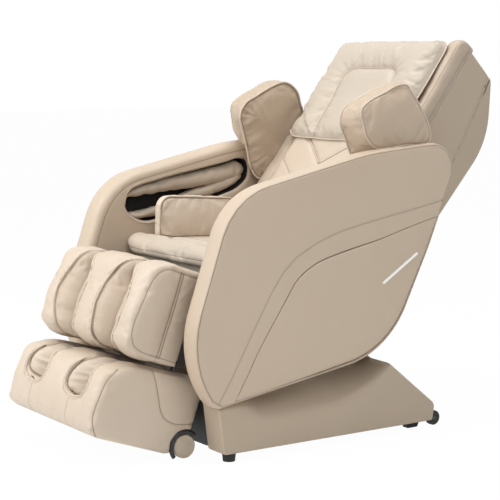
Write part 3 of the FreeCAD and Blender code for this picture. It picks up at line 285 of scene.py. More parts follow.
def sewn(piece, line, flat, where, slot, pinch=1.2, width=5.0, closed=False):
    """Sews a seam: the attribute seam_<slot> takes the signed distance from the line, the
    length along it and its whole length, in millimetres, and the surface sinks along its
    normal by pinch times exp(-(distance / width)^2). flat gives each vertex its place in
    the line's plane, and where is true on the side that is sewn."""
    line = np.array(line, float)
    if len(line) > 60:
        line = line[:: max(1, len(line) // 60)] if closed else evenly(line, 60, False)
    away, along, whole = offset_from(line, flat, closed)
    away = np.where(where, away, np.copysign(900.0, away))
    layer = piece.data.attributes.get(f"seam_{slot}") or piece.data.attributes.new(
        f"seam_{slot}", "FLOAT_VECTOR", "POINT")
    end = whole if not closed else 1e6
    layer.data.foreach_set("vector", np.stack([away, along, np.full(len(away), end)], -1)
                           .astype(np.float32).ravel())
    if pinch:
        inside = (along > -width) & (along < end + width)
        depth = pinch * np.exp(-(away / width) ** 2) * inside
        placed(piece, points_of(piece) - normals_of(piece) * depth[:, None] / 1000)


def unsewn(piece, *slots):
    """Gives a piece the seam slots that its material reads and it lacks, 900 mm away."""
    for slot in slots:
        sewn(piece, [(0, -900), (1, -900)], chair_flat(piece)[:, 1:], False, slot, 0)


def socket(tree, name, way, kind, value=None):
    """Adds a named socket to a node group's face."""
    made = tree.interface.new_socket(name=name, in_out=way, socket_type=kind)
    if value is not None:
        made.default_value = value
    return made


def stitch_group():
    """Node group: from a seam's vector (distance, length along, whole length) to masks of its sewn
    line, |distance| < width and 0 < length < whole, of the crease beside it, where the material
    paints shade, and of the thread, short dashes along the line."""
    tree = bpy.data.node_groups.new("sewn line", "ShaderNodeTree")
    socket(tree, "Seam", "INPUT", "NodeSocketVector")
    socket(tree, "Width", "INPUT", "NodeSocketFloat", 0.7)
    socket(tree, "Stitch", "INPUT", "NodeSocketFloat", 4.0)
    socket(tree, "Line", "OUTPUT", "NodeSocketFloat")
    socket(tree, "Crease", "OUTPUT", "NodeSocketFloat")
    socket(tree, "Thread", "OUTPUT", "NodeSocketFloat")
    face = tree.nodes.new("NodeGroupInput")
    out = tree.nodes.new("NodeGroupOutput")
    part = node(tree, "SeparateXYZ", {0: face.outputs["Seam"]})
    away = node(tree, "Math", {0: part.outputs[0]}, operation="ABSOLUTE")
    begun = node(tree, "Math", {0: part.outputs[1], 1: 0.0}, operation="GREATER_THAN")
    ended = node(tree, "Math", {0: part.outputs[1], 1: part.outputs[2]}, operation="LESS_THAN")
    inside = node(tree, "Math", {0: begun.outputs[0], 1: ended.outputs[0]}, operation="MULTIPLY")
    edge = node(tree, "Math", {0: face.outputs["Width"], 1: 1.6}, operation="MULTIPLY")
    line = node(tree, "MapRange",
                {0: away.outputs[0], 1: face.outputs["Width"], 2: edge.outputs[0],
                                   3: 1.0, 4: 0.0})
    kept = node(tree, "Math", {0: line.outputs[0], 1: inside.outputs[0]}, operation="MULTIPLY")
    # Mask for the painted shade in the crease: 1 at 0.5 mm from the line, down to 0 at 7 mm.
    soft = node(tree, "MapRange", {0: away.outputs[0], 1: 0.5, 2: 7.0, 3: 1.0, 4: 0.0})
    crease = node(tree, "Math", {0: soft.outputs[0], 1: inside.outputs[0]}, operation="MULTIPLY")
    beat = node(tree, "Math", {0: part.outputs[1], 1: face.outputs["Stitch"]}, operation="DIVIDE")
    phase = node(tree, "Math", {0: beat.outputs[0]}, operation="FRACT")
    dash = node(tree, "Math", {0: phase.outputs[0], 1: 0.66}, operation="LESS_THAN")
    thread = node(tree, "Math", {0: dash.outputs[0], 1: kept.outputs[0]}, operation="MULTIPLY")
    tree.links.new(kept.outputs[0], out.inputs["Line"])
    tree.links.new(crease.outputs[0], out.inputs["Crease"])
    tree.links.new(thread.outputs[0], out.inputs["Thread"])
    return tree


def hide_group():
    """Node group for coated leather: pebbled grain from cell noise, broad tone variation,
    and a slight rub-shine, each from noise of the object's own coordinates."""
    tree = bpy.data.node_groups.new("leather hide", "ShaderNodeTree")
    socket(tree, "Tone", "INPUT", "NodeSocketColor", (0.6, 0.5, 0.4, 1))
    socket(tree, "Shade", "INPUT", "NodeSocketColor", (0.5, 0.4, 0.3, 1))
    socket(tree, "Grain Size", "INPUT", "NodeSocketFloat", 620.0)
    socket(tree, "Roughness", "INPUT", "NodeSocketFloat", 0.46)
    socket(tree, "Color", "OUTPUT", "NodeSocketColor")
    socket(tree, "Roughness", "OUTPUT", "NodeSocketFloat")
    socket(tree, "Height", "OUTPUT", "NodeSocketFloat")
    face = tree.nodes.new("NodeGroupInput")
    out = tree.nodes.new("NodeGroupOutput")
    place = node(tree, "TexCoord").outputs["Object"]
    broad = node(tree, "TexNoise",
                 {"Vector": place, "Scale": 3.2, "Detail": 4.0, "Roughness": 0.6})
    drift = node(tree, "MapRange", {0: broad.outputs[0], 1: 0.35, 2: 0.65, 3: 0.0, 4: 1.0})
    colour = node(tree, "Mix", {0: drift.outputs[0], 6: face.outputs["Tone"],
                                7: face.outputs["Shade"]}, data_type="RGBA")
    cells = node(tree, "TexVoronoi", {"Vector": place, "Scale": face.outputs["Grain Size"]},
                 feature="DISTANCE_TO_EDGE")
    pebble = node(tree, "MapRange",
                  {0: cells.outputs["Distance"], 1: 0.0, 2: 0.22, 3: 0.0, 4: 1.0})
    fine = node(tree, "TexNoise", {"Vector": place, "Scale": 1500.0, "Detail": 2.0})
    height = node(tree, "Math", {0: fine.outputs[0], 1: 0.35, 2: pebble.outputs[0]},
                  operation="MULTIPLY_ADD")
    pore = node(tree, "MapRange", {0: pebble.outputs[0], 1: 0.0, 2: 1.0, 3: 0.955, 4: 1.0})
    toned = node(tree, "Mix", {0: 1.0, 6: colour.outputs[2], 7: pore.outputs[0]},
                 data_type="RGBA", blend_type="MULTIPLY")
    rub = node(tree, "TexNoise", {"Vector": place, "Scale": 9.0, "Detail": 5.0})
    shine = node(tree, "MapRange", {0: rub.outputs[0], 1: 0.3, 2: 0.7, 3: -0.05, 4: 0.06})
    rough = node(tree, "Math", {0: face.outputs["Roughness"], 1: shine.outputs[0]},
                 operation="ADD")
    tree.links.new(toned.outputs[2], out.inputs["Color"])
    tree.links.new(rough.outputs[0], out.inputs["Roughness"])
    tree.links.new(height.outputs[0], out.inputs["Height"])
    return tree


STITCH, HIDE = stitch_group(), hide_group()


def leather(name, tone, shade, seams=()):
    """Coated leather: the hide group's colour, darkened along each seam of the list, which holds
    (slot, line width in millimetres): a dark sewn line, and a painted shade in the crease beside
    it."""
    material = bpy.data.materials.new(name)
    material.use_nodes = True
    tree = material.node_tree
    shader = tree.nodes["Principled BSDF"]
    hide = node(tree, "Group", node_tree=HIDE)
    hide.inputs["Tone"].default_value = (*tone, 1)
    hide.inputs["Shade"].default_value = (*shade, 1)
    colour, height = hide.outputs["Color"], hide.outputs["Height"]
    for slot, width in seams:
        layer = node(tree, "Attribute", attribute_name=f"seam_{slot}")
        line = node(tree, "Group", node_tree=STITCH)
        line.inputs["Width"].default_value = width
        tree.links.new(layer.outputs["Vector"], line.inputs["Seam"])
        # Painted shade: the colour darkens by up to 10 % in the crease beside the seam.
        soft = node(tree, "MapRange", {0: line.outputs["Crease"], 3: 1.0, 4: 0.9})
        crease_shaded = node(tree, "Mix", {0: 1.0, 6: colour, 7: soft.outputs[0]}, data_type="RGBA",
                       blend_type="MULTIPLY")
        lined = node(tree, "Mix", {0: line.outputs["Line"], 6: crease_shaded.outputs[2],
                                   7: (0.13, 0.075, 0.04, 1)}, data_type="RGBA")
        stitched = node(tree, "MapRange", {0: line.outputs["Thread"], 3: 0.0, 4: 0.42})
        colour = node(tree, "Mix", {0: stitched.outputs[0], 6: lined.outputs[2],
                                    7: (0.55, 0.44, 0.33, 1)}, data_type="RGBA").outputs[2]
        sunk = node(tree, "Math", {0: line.outputs["Line"], 1: -2.0, 2: height},
                    operation="MULTIPLY_ADD")
        height = sunk.outputs[0]
    bump = node(tree, "Bump", {"Height": height, "Strength": 0.35, "Distance": 0.0004})
    tree.links.new(colour, shader.inputs["Base Color"])
    tree.links.new(hide.outputs["Roughness"], shader.inputs["Roughness"])
    tree.links.new(bump.outputs[0], shader.inputs["Normal"])
    shader.inputs["Specular IOR Level"].default_value = 0.55
    return material


BEIGE, BEIGE_SHADE = (0.58, 0.485, 0.385), (0.555, 0.455, 0.355)
PANEL_BEIGE, PANEL_SHADE = (0.545, 0.44, 0.335), (0.525, 0.42, 0.315)
PANEL_CORNERS = [(-67, 157, 29), (-166, 287, 268), (-14, 731, 204), (447, 833, 900),
                 (801, 863, 76), (671, 548, 900), (524, 255, 284)]
GROOVE_LINE = [(-22, 154), (-14, 168), (35, 250), (71, 312), (111, 371), (158, 439), (191, 486),
               (220, 510), (263, 533), (336, 554), (410, 570), (487, 586), (564, 606),
               (643, 626), (709, 642), (730, 648)]
BAND_SEAM = [(-65, 170), (-18, 245), (51, 364), (106, 458), (148, 515), (191, 553), (262, 589),
             (335, 614), (410, 630), (486, 644), (602, 664), (722, 686)]
INSERT_CENTRE = (360, 420)
CHANNEL_LIP = [(48, 648), (55, 676), (72, 699), (96, 709), (150, 721), (199, 732), (304, 751),
               (412, 771), (466, 782), (494, 776), (504, 750), (498, 718), (470, 692), (400, 666),
               (300, 640), (220, 617), (156, 602), (122, 599), (98, 604), (71, 618), (53, 636),
               (48, 648)]
CHANNEL_CENTRE = (260, 695)
OUTER_X, INNER_X = 390, 309

silhouette = evenly(rounded(PANEL_CORNERS), 420)
normal = inward(silhouette)
groove = np.vstack([through(GROOVE_LINE), [(790, 640), (760, 300), (400, 100), (-60, 90)]])


def insert_line(gap):
    """The insert's closed outline: in each direction from its centre, the nearer of the
    groove line and the panel's edge moved in, less a gap."""
    way = silhouette - np.array(INSERT_CENTRE)
    angle = np.arctan2(way[:, 1], way[:, 0])
    near = np.minimum(reach(evenly(groove, 4000), INSERT_CENTRE, angle) - gap,
                      reach(silhouette, INSERT_CENTRE, angle) - 9 - gap)
    return np.array(INSERT_CENTRE) + near[:, None] * np.stack([np.cos(angle), np.sin(angle)], -1)


def panel_rows():
    """Loops from the bed under the insert, up over its rolled edge, across the outer face
    to the sewn edge, round the band, and over the inner face into the channel: each loop
    is the outline moved in by an inset, or a share of the way to the next outline."""
    hole = insert_line(0)
    rows = [on_chair(OUTER_X - 9, *(np.array(INSERT_CENTRE) + (hole - INSERT_CENTRE) * s).T)
            for s in (0.05, 0.5, 0.97)]
    step = (silhouette - hole) / np.maximum(np.hypot(*(silhouette - hole).T), 1)[:, None]
    room = np.hypot(*(silhouette - normal * -9 - hole).T)
    for out, drop in ((0, 8.5), (0.2, 3.5), (0.9, 1.5), (2.2, 0.5), (4.0, 0.1)):
        share = np.minimum(out, 0.2 * room + 0.1)[:, None]
        rows.append(on_chair(OUTER_X - drop, *(hole + step * share).T))
    start = hole + step * np.minimum(4.0, 0.2 * room + 0.1)[:, None]
    rim = silhouette + normal * 8
    for s in np.linspace(0, 1, 34)[1:]:
        crown = 1.0 * math.sin(math.pi * s)
        rows.append(on_chair(OUTER_X - 0.6 * s + crown, *(start + (rim - start) * s).T))
    for inset, x in ((6.6, -1.2), (5.6, -2.6), (4.6, -2.9), (3.2, -3.0), (1.6, -4.6), (0.5, -8),
                     (-0.4, -13), (-1.4, -24), (-2.0, -38), (-1.6, -50), (-0.2, -60), (2.4, -67),
                     (6.5, -73), (12, -77.5), (19, -80), (26, -80.8), (30, -81)):
        rows.append(on_chair(OUTER_X + x, *(silhouette + normal * inset).T))
    rim = silhouette + normal * 30
    way = rim - np.array(CHANNEL_CENTRE)
    angle = np.arctan2(way[:, 1], way[:, 0])
    mouth = reach(through(CHANNEL_LIP)[1:], CHANNEL_CENTRE, angle)
    aim = np.stack([np.cos(angle), np.sin(angle)], -1)
    mouth_line = np.array(CHANNEL_CENTRE) + aim * (mouth + 9)[:, None]
    for s in np.linspace(0, 1, 22)[1:]:
        rows.append(on_chair(INNER_X, *(rim + (mouth_line - rim) * s).T))
    for inset, x in ((5, 0.4), (7.4, 1.6), (9, 4), (9.6, 8), (9.6, 20), (9.6, 44), (14, 61)):
        rows.append(on_chair(INNER_X + x, *(mouth_line - aim * inset).T))
    return np.array(rows + [rows[-1] * 0.5 + rows[-1].mean(0) * 0.5])


def mirrored(piece, name):
    """Copy of a piece on the chair's other side: x changes sign and every face turns over."""
    mesh = piece.data.copy()
    flat = np.empty(len(mesh.vertices) * 3, np.float32)
    mesh.vertices.foreach_get("co", flat)
    flat[::3] *= -1
    mesh.vertices.foreach_set("co", flat)
    mesh.flip_normals()
    mesh.update()
    twin = bpy.data.objects.new(name, mesh)
    bpy.context.scene.collection.objects.link(twin)
    return twin


def fitted(piece, body, stands_for=None):
    """Puts a piece in its place: it stands for a CAD node, if one is named, whose part is hidden,
    and rides a body."""
    if stands_for:
        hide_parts(stands_for)
    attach(piece, body)


SIDES = (("left", lambda piece, name: piece), ("right", mirrored))
panel = skin("side_panel_cover_left", panel_rows())
spot = chair_flat(panel)
outer, inner = spot[:, 0] > OUTER_X - 5, spot[:, 0] < INNER_X + 6
flat = spot[:, 1:]
sewn(panel, BAND_SEAM, flat, outer, 1, 1.3, 5)
sewn(panel, silhouette + normal * 5, flat, spot[:, 0] > 350, 2, 0, 5, True)
sewn(panel, silhouette + normal * 27, flat, spot[:, 0] < 330, 3, 0.9, 5, True)
sewn(panel, through(CHANNEL_LIP)[::8], flat, inner & (spot[:, 0] < INNER_X + 3), 4, 1.2, 5, True)
panel.data.materials.append(leather("panel_leather", PANEL_BEIGE, PANEL_SHADE,
                                    [(1, 0.5), (2, 0.7), (3, 0.7), (4, 0.7)]))
black_cloth = bpy.data.materials.new("black_cloth")
black_cloth.use_nodes = True
weave = node(black_cloth.node_tree, "TexNoise", {"Scale": 900.0, "Detail": 2.0})
weave_place = node(black_cloth.node_tree, "TexCoord")
shade = node(black_cloth.node_tree, "Mix", {0: weave.outputs[0], 6: (0.006, 0.006, 0.006, 1),
                                            7: (0.022, 0.02, 0.018, 1)}, data_type="RGBA")
black_cloth.node_tree.links.new(weave_place.outputs["Object"], weave.inputs["Vector"])
black_cloth.node_tree.links.new(shade.outputs[2],
                                black_cloth.node_tree.nodes["Principled BSDF"].inputs["Base Color"])
black_cloth.node_tree.nodes["Principled BSDF"].inputs["Roughness"].default_value = 0.95
panel.data.materials.append(black_cloth)
middles = face_middles(panel) * 1000 - [0, FRONT_FOOT_Y, 0]
way = middles[:, 1:] - np.array(CHANNEL_CENTRE)
inside = (np.hypot(*way.T) < reach(through(CHANNEL_LIP)[1:], CHANNEL_CENTRE,
                                   np.arctan2(way[:, 1], way[:, 0])) + 2)
lined = inside & (middles[:, 0] > INNER_X + 6) & (middles[:, 0] < OUTER_X - 12)
panel.data.polygons.foreach_set("material_index", lined.astype(np.int32))
for side, made in SIDES:
    fitted(made(panel, f"side_panel_cover_{side}"), "seat", f"side_panel_{side}")


# ---- Insets of the side panels ------------------------------------------------------
# A stiff lower board on the outer face, covered in the same leather and let in flush
# behind a narrow dark joint. It is clipped to the panel, and a plain bar is pinned to it.
def insert_rows():
    """Loops over the board's face out to its rolled edge and round to its back: the
    outline less the joint, scaled about its middle, or moved in by an inset."""
    line = insert_line(1.9)
    centre = np.array(INSERT_CENTRE)
    rows = [on_chair(OUTER_X + 0.4, *(centre + (line - centre) * s).T)
            for s in np.linspace(0.02, 1, 40) ** 0.8 * 0.985]
    way = (centre - line) / np.hypot(*(centre - line).T)[:, None]
    for inset, x in ((2.4, 0.3), (1.2, -0.1), (0.4, -0.9), (0, -2.2), (0, -6), (0, -8.4),
                     (40, -8.6)):
        rows.append(on_chair(OUTER_X + x, *(line + way * inset).T))
    return np.array(rows)


insert = skin("side_inset_left", insert_rows())
spot = chair_flat(insert)
LOWER_CREASE = [(20, 196), (120, 214), (205, 236), (338, 264), (441, 295), (520, 340), (580, 420),
                (640, 540), (690, 640)]
# Below a soft crease near its lower edge the face falls away by 4.5 (1 - exp(-d / 22)).
below = -offset_from(through(LOWER_CREASE, 60), spot[:, 1:])[0]
face = spot[:, 0] > OUTER_X - 1
spot[:, 0] -= face * 4.5 * (1 - np.exp(-np.clip(below, 0, None) / 22))
placed(insert, on_chair(*spot.T))
insert.data.materials.append(leather("inset_leather", PANEL_BEIGE, PANEL_SHADE))
for side, made in SIDES:
    fitted(made(insert, f"side_inset_{side}"), "seat", f"side_insert_{side}")

# ---- Base ---------------------------------------------------------------------------
# Two hollow covers moulded in beige plastic hide the base's steel frame. Each has a ledge
# hollowed into its outer face below the side panel, and is screwed to the cross tubes.
def moulded(name, tone, roughness, grain=900.0):
    """Moulded plastic or paint: its colour mottled by broad noise, and a fine even grain
    from small noise in the bump."""
    material = bpy.data.materials.new(name)
    material.use_nodes = True
    tree = material.node_tree
    shader = tree.nodes["Principled BSDF"]
    place = node(tree, "TexCoord").outputs["Object"]
    broad = node(tree, "TexNoise", {"Vector": place, "Scale": 5.0, "Detail": 5.0})
    tint = node(tree, "MapRange", {0: broad.outputs[0], 1: 0.3, 2: 0.7, 3: 0.97, 4: 1.02})
    colour = node(tree, "Mix", {0: 1.0, 6: (*tone, 1), 7: tint.outputs[0]}, data_type="RGBA",
                  blend_type="MULTIPLY")
    fine = node(tree, "TexNoise", {"Vector": place, "Scale": grain, "Detail": 3.0})
    rub = node(tree, "MapRange", {0: broad.outputs[0], 1: 0.3, 2: 0.7, 3: roughness - 0.04,
                                  4: roughness + 0.05})
    bump = node(tree, "Bump", {"Height": fine.outputs[0], "Strength": 0.25, "Distance": 0.0003})
    tree.links.new(colour.outputs[2], shader.inputs["Base Color"])
    tree.links.new(rub.outputs[0], shader.inputs["Roughness"])
    tree.links.new(bump.outputs[0], shader.inputs["Normal"])
    return material


def painted(material, *names):
    """Gives CAD nodes a material in all their slots."""
    for name in names:
        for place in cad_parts[name].material_slots:
            place.material = material


def smooth_step(v):
    """3 v^2 - 2 v^3, with v held between 0 and 1."""
    v = np.clip(v, 0, 1)
    return v * v * (3 - 2 * v)


def pad_rows(outline, low, high, edge, crown, place, across=24, belly=0.0):
    """Loops over a padded slab whose sides are x = low and x = high, numbers or functions
    of the place in the outline's plane: each end is the outline moved in by the edge
    radius and scaled to its middle, bulging by crown * (1 - s^2); the edges are quarter
    rounds; between them the outline stands out by belly * sin(pi t)."""
    normal = inward(outline)
    inner = outline + normal * edge
    centre = inner.mean(0)
    ends = [(centre + (inner - centre) * s, crown * (1 - s * s)) for s in np.linspace(0.05, 1, 14)]
    turn = np.linspace(0, math.pi / 2, 6)[1:]
    round_end = [(outline + normal * edge * (1 - math.sin(a)), edge * (1 - math.cos(a)))
                 for a in turn]
    side0 = low if callable(low) else lambda loop: low
    side1 = high if callable(high) else lambda loop: high
    rows = [place(side0(loop) - out, *loop.T) for loop, out in ends]
    rows += [place(side0(loop) + out, *loop.T) for loop, out in round_end]
    for t in np.linspace(0, 1, across)[1:-1]:
        loop = outline - normal * belly * math.sin(math.pi * t)
        x0, x1 = side0(loop) + edge, side1(loop) - edge
        rows.append(place(x0 + t * (x1 - x0), *loop.T))
    rows += [place(side1(loop) - out, *loop.T) for loop, out in round_end[::-1]]
    rows += [place(side1(loop) + out, *loop.T) for loop, out in ends[::-1]]
    return np.array(rows)


BACK_HINGE, LEG_HINGE = (470, 480, 38), (-12, 498, 20)  # along, up, and the lean in degrees


def unleaned(hinge, x, b, a):
    """Lengths from a hinge, a up its lean and b square to it, as a place in metres."""
    along, up, lean = *hinge[:2], math.radians(hinge[2])
    return on_chair(x, along + b * math.cos(lean) + a * math.sin(lean),
                    up - b * math.sin(lean) + a * math.cos(lean))


def back_to_chair(x, b, a):
    """Lengths up the back's lean, a, and square to it, b, as a place in metres."""
    return unleaned(BACK_HINGE, x, b, a)


def leg_to_chair(x, b, a):
    """Lengths up the leg rest's lean, a, and square to it, b, as a place in metres."""
    return unleaned(LEG_HINGE, x, b, a)


def leaned(spot, y, z, degrees):
    """Chair millimetres as (x, b, a) about a hinge at (y, z) that leans by an angle."""
    lean = math.radians(degrees)
    along, up = spot[:, 1] - y, spot[:, 2] - z
    return np.stack([spot[:, 0], along * math.cos(lean) - up * math.sin(lean),
                     along * math.sin(lean) + up * math.cos(lean)], -1)


def back_flat(piece):
    """The piece's vertices as (x, b, a) along the back's lean."""
    return leaned(chair_flat(piece), *BACK_HINGE)


def leg_flat(piece):
    """The piece's vertices as (x, b, a) along the leg rest's lean."""
    return leaned(chair_flat(piece), *LEG_HINGE)


COVER_CORNERS = [(-33, 24, 10), (-57, 205, 20), (30, 262, 60), (486, 262, 14), (719, 74, 22),
                 (711, 24, 6)]
LEDGE = [(-90, 150), (20, 152), (52, 132), (90, 108), (140, 101), (330, 101), (400, 118),
         (480, 160),
         (540, 212), (590, 262)]
cover = skin("base_cover_shell_left",
             pad_rows(evenly(rounded(COVER_CORNERS), 420), 286.2, 370, 5, 0,
                                               on_chair, 40))
# The moulded beige is darker than the plastic's own colour: painted shade for the base covers,
# which lie in the side panels' shadow. The back's shell and rear cover share it.
shell_beige = moulded("moulded_beige", (0.445, 0.36, 0.27), 0.52)
spot = chair_flat(cover)
rise = spot[:, 2] - read_off(spot[:, 1], LEDGE)
slope = np.interp(spot[:, 1], [-60, 60, 300, 361, 420, 480, 520, 590],
                  [30, 66, 78, 70, 56, 34, 7, 4])
spot[:, 0] = np.minimum(spot[:, 0], 370 - 64 * smooth_step(rise / slope * 0.5 + 0.03) * 2
                        * (rise > 0)
                        + 64 * 2 * 0.0027 * (rise > 0))
spot[:, 0] = np.where((rise > slope), np.minimum(spot[:, 0], 306), spot[:, 0])
placed(cover, on_chair(*spot.T))
cover.data.materials.append(shell_beige)
for side, made in SIDES:
    fitted(made(cover, f"base_cover_shell_{side}"), "base", f"base_cover_{side}")
black_plastic = moulded("black_plastic", (0.018, 0.018, 0.019), 0.45, 700.0)
rubber = moulded("black_rubber", (0.022, 0.021, 0.02), 0.75, 500.0)
steel_paint = moulded("painted_steel", (0.05, 0.05, 0.052), 0.4, 1200.0)
painted(shell_beige, "base_rear_cover")
painted(black_plastic, "base_front_guard", "power_inlet", "power_switch", "wheel_arches",
        "air_pump", "control_box", "lift_motor", "carriage", "tilt_actuator_body",
        "back_actuator_body", "leg_actuator_body")
painted(rubber, "rubber_feet", "caster_wheel_left", "caster_wheel_right", "foot_roller",
        "massage_roller_upper_left", "massage_roller_upper_right", "massage_roller_lower_left",
        "massage_roller_lower_right")
# The foot slides take a near-black steel instead of bright steel: painted shade for the dark gap
# under the leg rest that they sit in.
painted(moulded("blued_steel", (0.03, 0.03, 0.033), 0.32, 1500.0), "foot_slides")


def metal(name, tone, roughness):
    """Bare metal: its roughness streaked by noise that is drawn out along the chair."""
    material = bpy.data.materials.new(name)
    material.use_nodes = True
    tree = material.node_tree
    shader = tree.nodes["Principled BSDF"]
    shader.inputs["Base Color"].default_value = (*tone, 1)
    shader.inputs["Metallic"].default_value = 1.0
    long = node(tree, "Mapping", {"Vector": node(tree, "TexCoord").outputs["Object"],
                                  "Scale": (260.0, 9.0, 260.0)})
    streak = node(tree, "TexNoise", {"Vector": long.outputs[0], "Scale": 1.0, "Detail": 4.0})
    rough = node(tree, "MapRange", {0: streak.outputs[0], 1: 0.3, 2: 0.7, 3: roughness - 0.06,
                                    4: roughness + 0.1})
    tree.links.new(rough.outputs[0], shader.inputs["Roughness"])
    return material


painted(metal("accent_metal", (0.86, 0.86, 0.85), 0.3), "accent_bars")
painted(metal("bright_steel", (0.62, 0.62, 0.61), 0.28), "lift_screw", "tilt_actuator_rod",
        "back_actuator_rod", "leg_actuator_rod")
painted(steel_paint, "base_frame", "seat_frame", "seat_pan", "back_frame", "legrest_frame",
        "roller_arm_left", "roller_arm_right")

# ---- Seat ---------------------------------------------------------------------------
# A foam seat in leather: a firm roll across the front that overhangs the leg rest, and
# the seat proper behind it, let down between the side panels and screwed to the pan.
def baked(piece):
    """Puts the modifiers' result into the piece's own mesh."""
    shape = bpy.data.meshes.new_from_object(
        piece.evaluated_get(bpy.context.evaluated_depsgraph_get()))
    piece.modifiers.clear()
    piece.data = shape
    shape.materials.clear()
    shape.polygons.foreach_set("use_smooth", [True] * len(shape.polygons))


def stuffed(piece, cap, voxel=0.006, slack=0.02, pressure=4.0, held=None):
    """Fills a pad. Its skin is remeshed evenly and starts 1.5 mm inside its place, is cut
    larger by the slack, and 20 steps of cloth under pressure push it out. A point's move d
    is held to cap * tanh(|d| / cap); held gives how firmly each point is sewn down, 0 to 1,
    from its millimetres along the chair. One subdivision smooths the result."""
    even = piece.modifiers.new("even_skin", "REMESH")
    even.mode, even.voxel_size = "VOXEL", voxel
    baked(piece)
    start = points_of(piece) - normals_of(piece) * 0.0015
    placed(piece, start)
    group = piece.vertex_groups.new(name="sewn_down")
    firm = np.round((held(chair_flat(piece)) if held else np.zeros(len(start)))
                    * 8).astype(int)
    for level in range(1, 9):
        group.add(np.flatnonzero(firm == level).tolist(), level / 8, "REPLACE")
    filling = piece.modifiers.new("filling", "CLOTH")
    filling.settings.quality = 5
    filling.settings.use_pressure = True
    filling.settings.uniform_pressure_force = pressure
    filling.settings.shrink_min = -slack
    filling.settings.effector_weights.gravity = 0
    filling.settings.vertex_group_mass = group.name
    filling.point_cache.frame_end = 20
    for step in range(1, 21):
        bpy.context.scene.frame_set(step)
    moved = piece.evaluated_get(bpy.context.evaluated_depsgraph_get()).to_mesh()
    flat = np.empty(len(start) * 3, np.float32)
    moved.vertices.foreach_get("co", flat)
    way = flat.reshape(-1, 3) - start
    size = np.linalg.norm(way, axis=1)[:, None] + 1e-9
    piece.modifiers.clear()
    piece.vertex_groups.clear()
    bpy.context.scene.frame_set(1)
    placed(piece, start + way / size * np.tanh(size * 1000 / cap) * cap / 1000)
    finer = piece.modifiers.new("finer", "SUBSURF")
    finer.levels = finer.render_levels = 1
    baked(piece)


def drawn_in(spot, seed, pitch, amount):
    """Soft unevenness of stuffed leather: a sum of twelve sines of random direction and
    phase over lengths from pitch to three times pitch, in millimetres."""
    chance = np.random.default_rng(seed)
    way = chance.normal(size=(12, 3))
    way /= np.linalg.norm(way, axis=1)[:, None] * chance.uniform(1, 3, 12)[:, None] * pitch / 6.283
    return amount * np.sin(spot @ way.T + chance.uniform(0, 6.283, 12)).sum(1) / 3.5


def pushed(piece, amount):
    """Moves each vertex along its normal by its amount in millimetres."""
    placed(piece, points_of(piece) + normals_of(piece) * np.asarray(amount)[:, None] / 1000)


def gathered(piece, line, flat, where, depth, reach_in, pitch, seed, closed=False):
    """Small folds that run square to a sewn edge: depth * (1 - exp(-(distance / 8)^2)) *
    exp(-distance / reach) times a mean of four waves 1 - 2 |sin| of the length along the
    edge, of random length about the pitch, which slant a little with the distance."""
    line = np.array(line, float)
    if len(line) > 60:
        line = line[:: max(1, len(line) // 60)] if closed else evenly(line, 60, False)
    away, along, whole = offset_from(line, flat, closed)
    chance = np.random.default_rng(seed)
    folds = 0
    for length, phase, slant in zip(chance.uniform(0.7, 2.4, 4), chance.uniform(0, 6, 4),
                                    chance.uniform(-0.3, 0.3, 4)):
        folds = folds + 1 - 2 * np.abs(np.sin(math.pi * (along + slant * away) / (pitch * length)
                                              + phase))
    fade = (1 - np.exp(-(away / 8) ** 2)) * np.exp(-np.abs(away) / reach_in)
    pushed(piece, where * depth * fade * folds / 4)


def bead(name, path, thick=2.0, closed=True):
    """Round bead along a path in metres: at each place a ring of eight points, spanned by
    the path's sideways direction in its own mean plane and that plane's normal."""
    along = (np.roll(path, -1, 0) - np.roll(path, 1, 0)) if closed else np.gradient(path, axis=0)
    along /= np.linalg.norm(along, axis=1)[:, None]
    across = np.linalg.svd(path - path.mean(0), full_matrices=False)[2][2]
    side = np.cross(along, across)
    side /= np.linalg.norm(side, axis=1)[:, None]
    rise = np.cross(side, along)
    turn = np.linspace(0, 2 * math.pi, 8, endpoint=False)[None, :, None]
    rings = path[:, None] + thick / 1000 * (np.cos(turn) * side[:, None] + np.sin(turn)
                                            * rise[:, None])
    if not closed:
        return skin(name, rings)
    grid = np.arange(8 * len(path)).reshape(len(path), 8)
    quads = np.stack([grid, np.roll(grid, -1, 1), np.roll(np.roll(grid, -1, 1), -1, 0),
                      np.roll(grid, -1, 0)], -1).reshape(-1, 4)
    point = rings.reshape(-1, 3)
    middle = path[quads[:, 0] // 8]
    out = np.cross(point[quads[:, 1]] - point[quads[:, 0]],
                   point[quads[:, 3]] - point[quads[:, 0]])
    if np.sum(out * (point[quads[:, 0]] - middle)) < 0:
        quads = quads[:, ::-1]
    return meshed(name, point.tolist(), quads.tolist())


def laid_on(path, piece, lift=0.0):
    """Moves a path onto a piece's skin: each place goes along the mean normal of the eight
    nearest vertices, weighted by 1 / distance, to their mean plane, and lift mm beyond."""
    skin_points, normals = points_of(piece), normals_of(piece)
    gap = np.linalg.norm(path[:, None] - skin_points[None], axis=2)
    near = np.argpartition(gap, 8, axis=1)[:, :8]
    weight = 1 / (np.take_along_axis(gap, near, 1) + 0.0005)
    weight /= weight.sum(1)[:, None]
    spot = (skin_points[near] * weight[..., None]).sum(1)
    normal = (normals[near] * weight[..., None]).sum(1)
    normal /= np.linalg.norm(normal, axis=1)[:, None]
    return path - normal * (((path - spot) * normal).sum(1) - lift / 1000)[:, None]


SEAT_CORNERS = [(84, 461, 6), (78, 514, 6), (52, 516, 16), (39, 548, 20), (62, 571, 26),
                (104, 569, 50), (150, 549, 80), (438, 540, 16), (438, 461, 6)]
seat = skin("seat_cushion_cover", pad_rows(evenly(rounded(SEAT_CORNERS), 200), -304, 304, 12, 0,
                                           on_chair, 60))


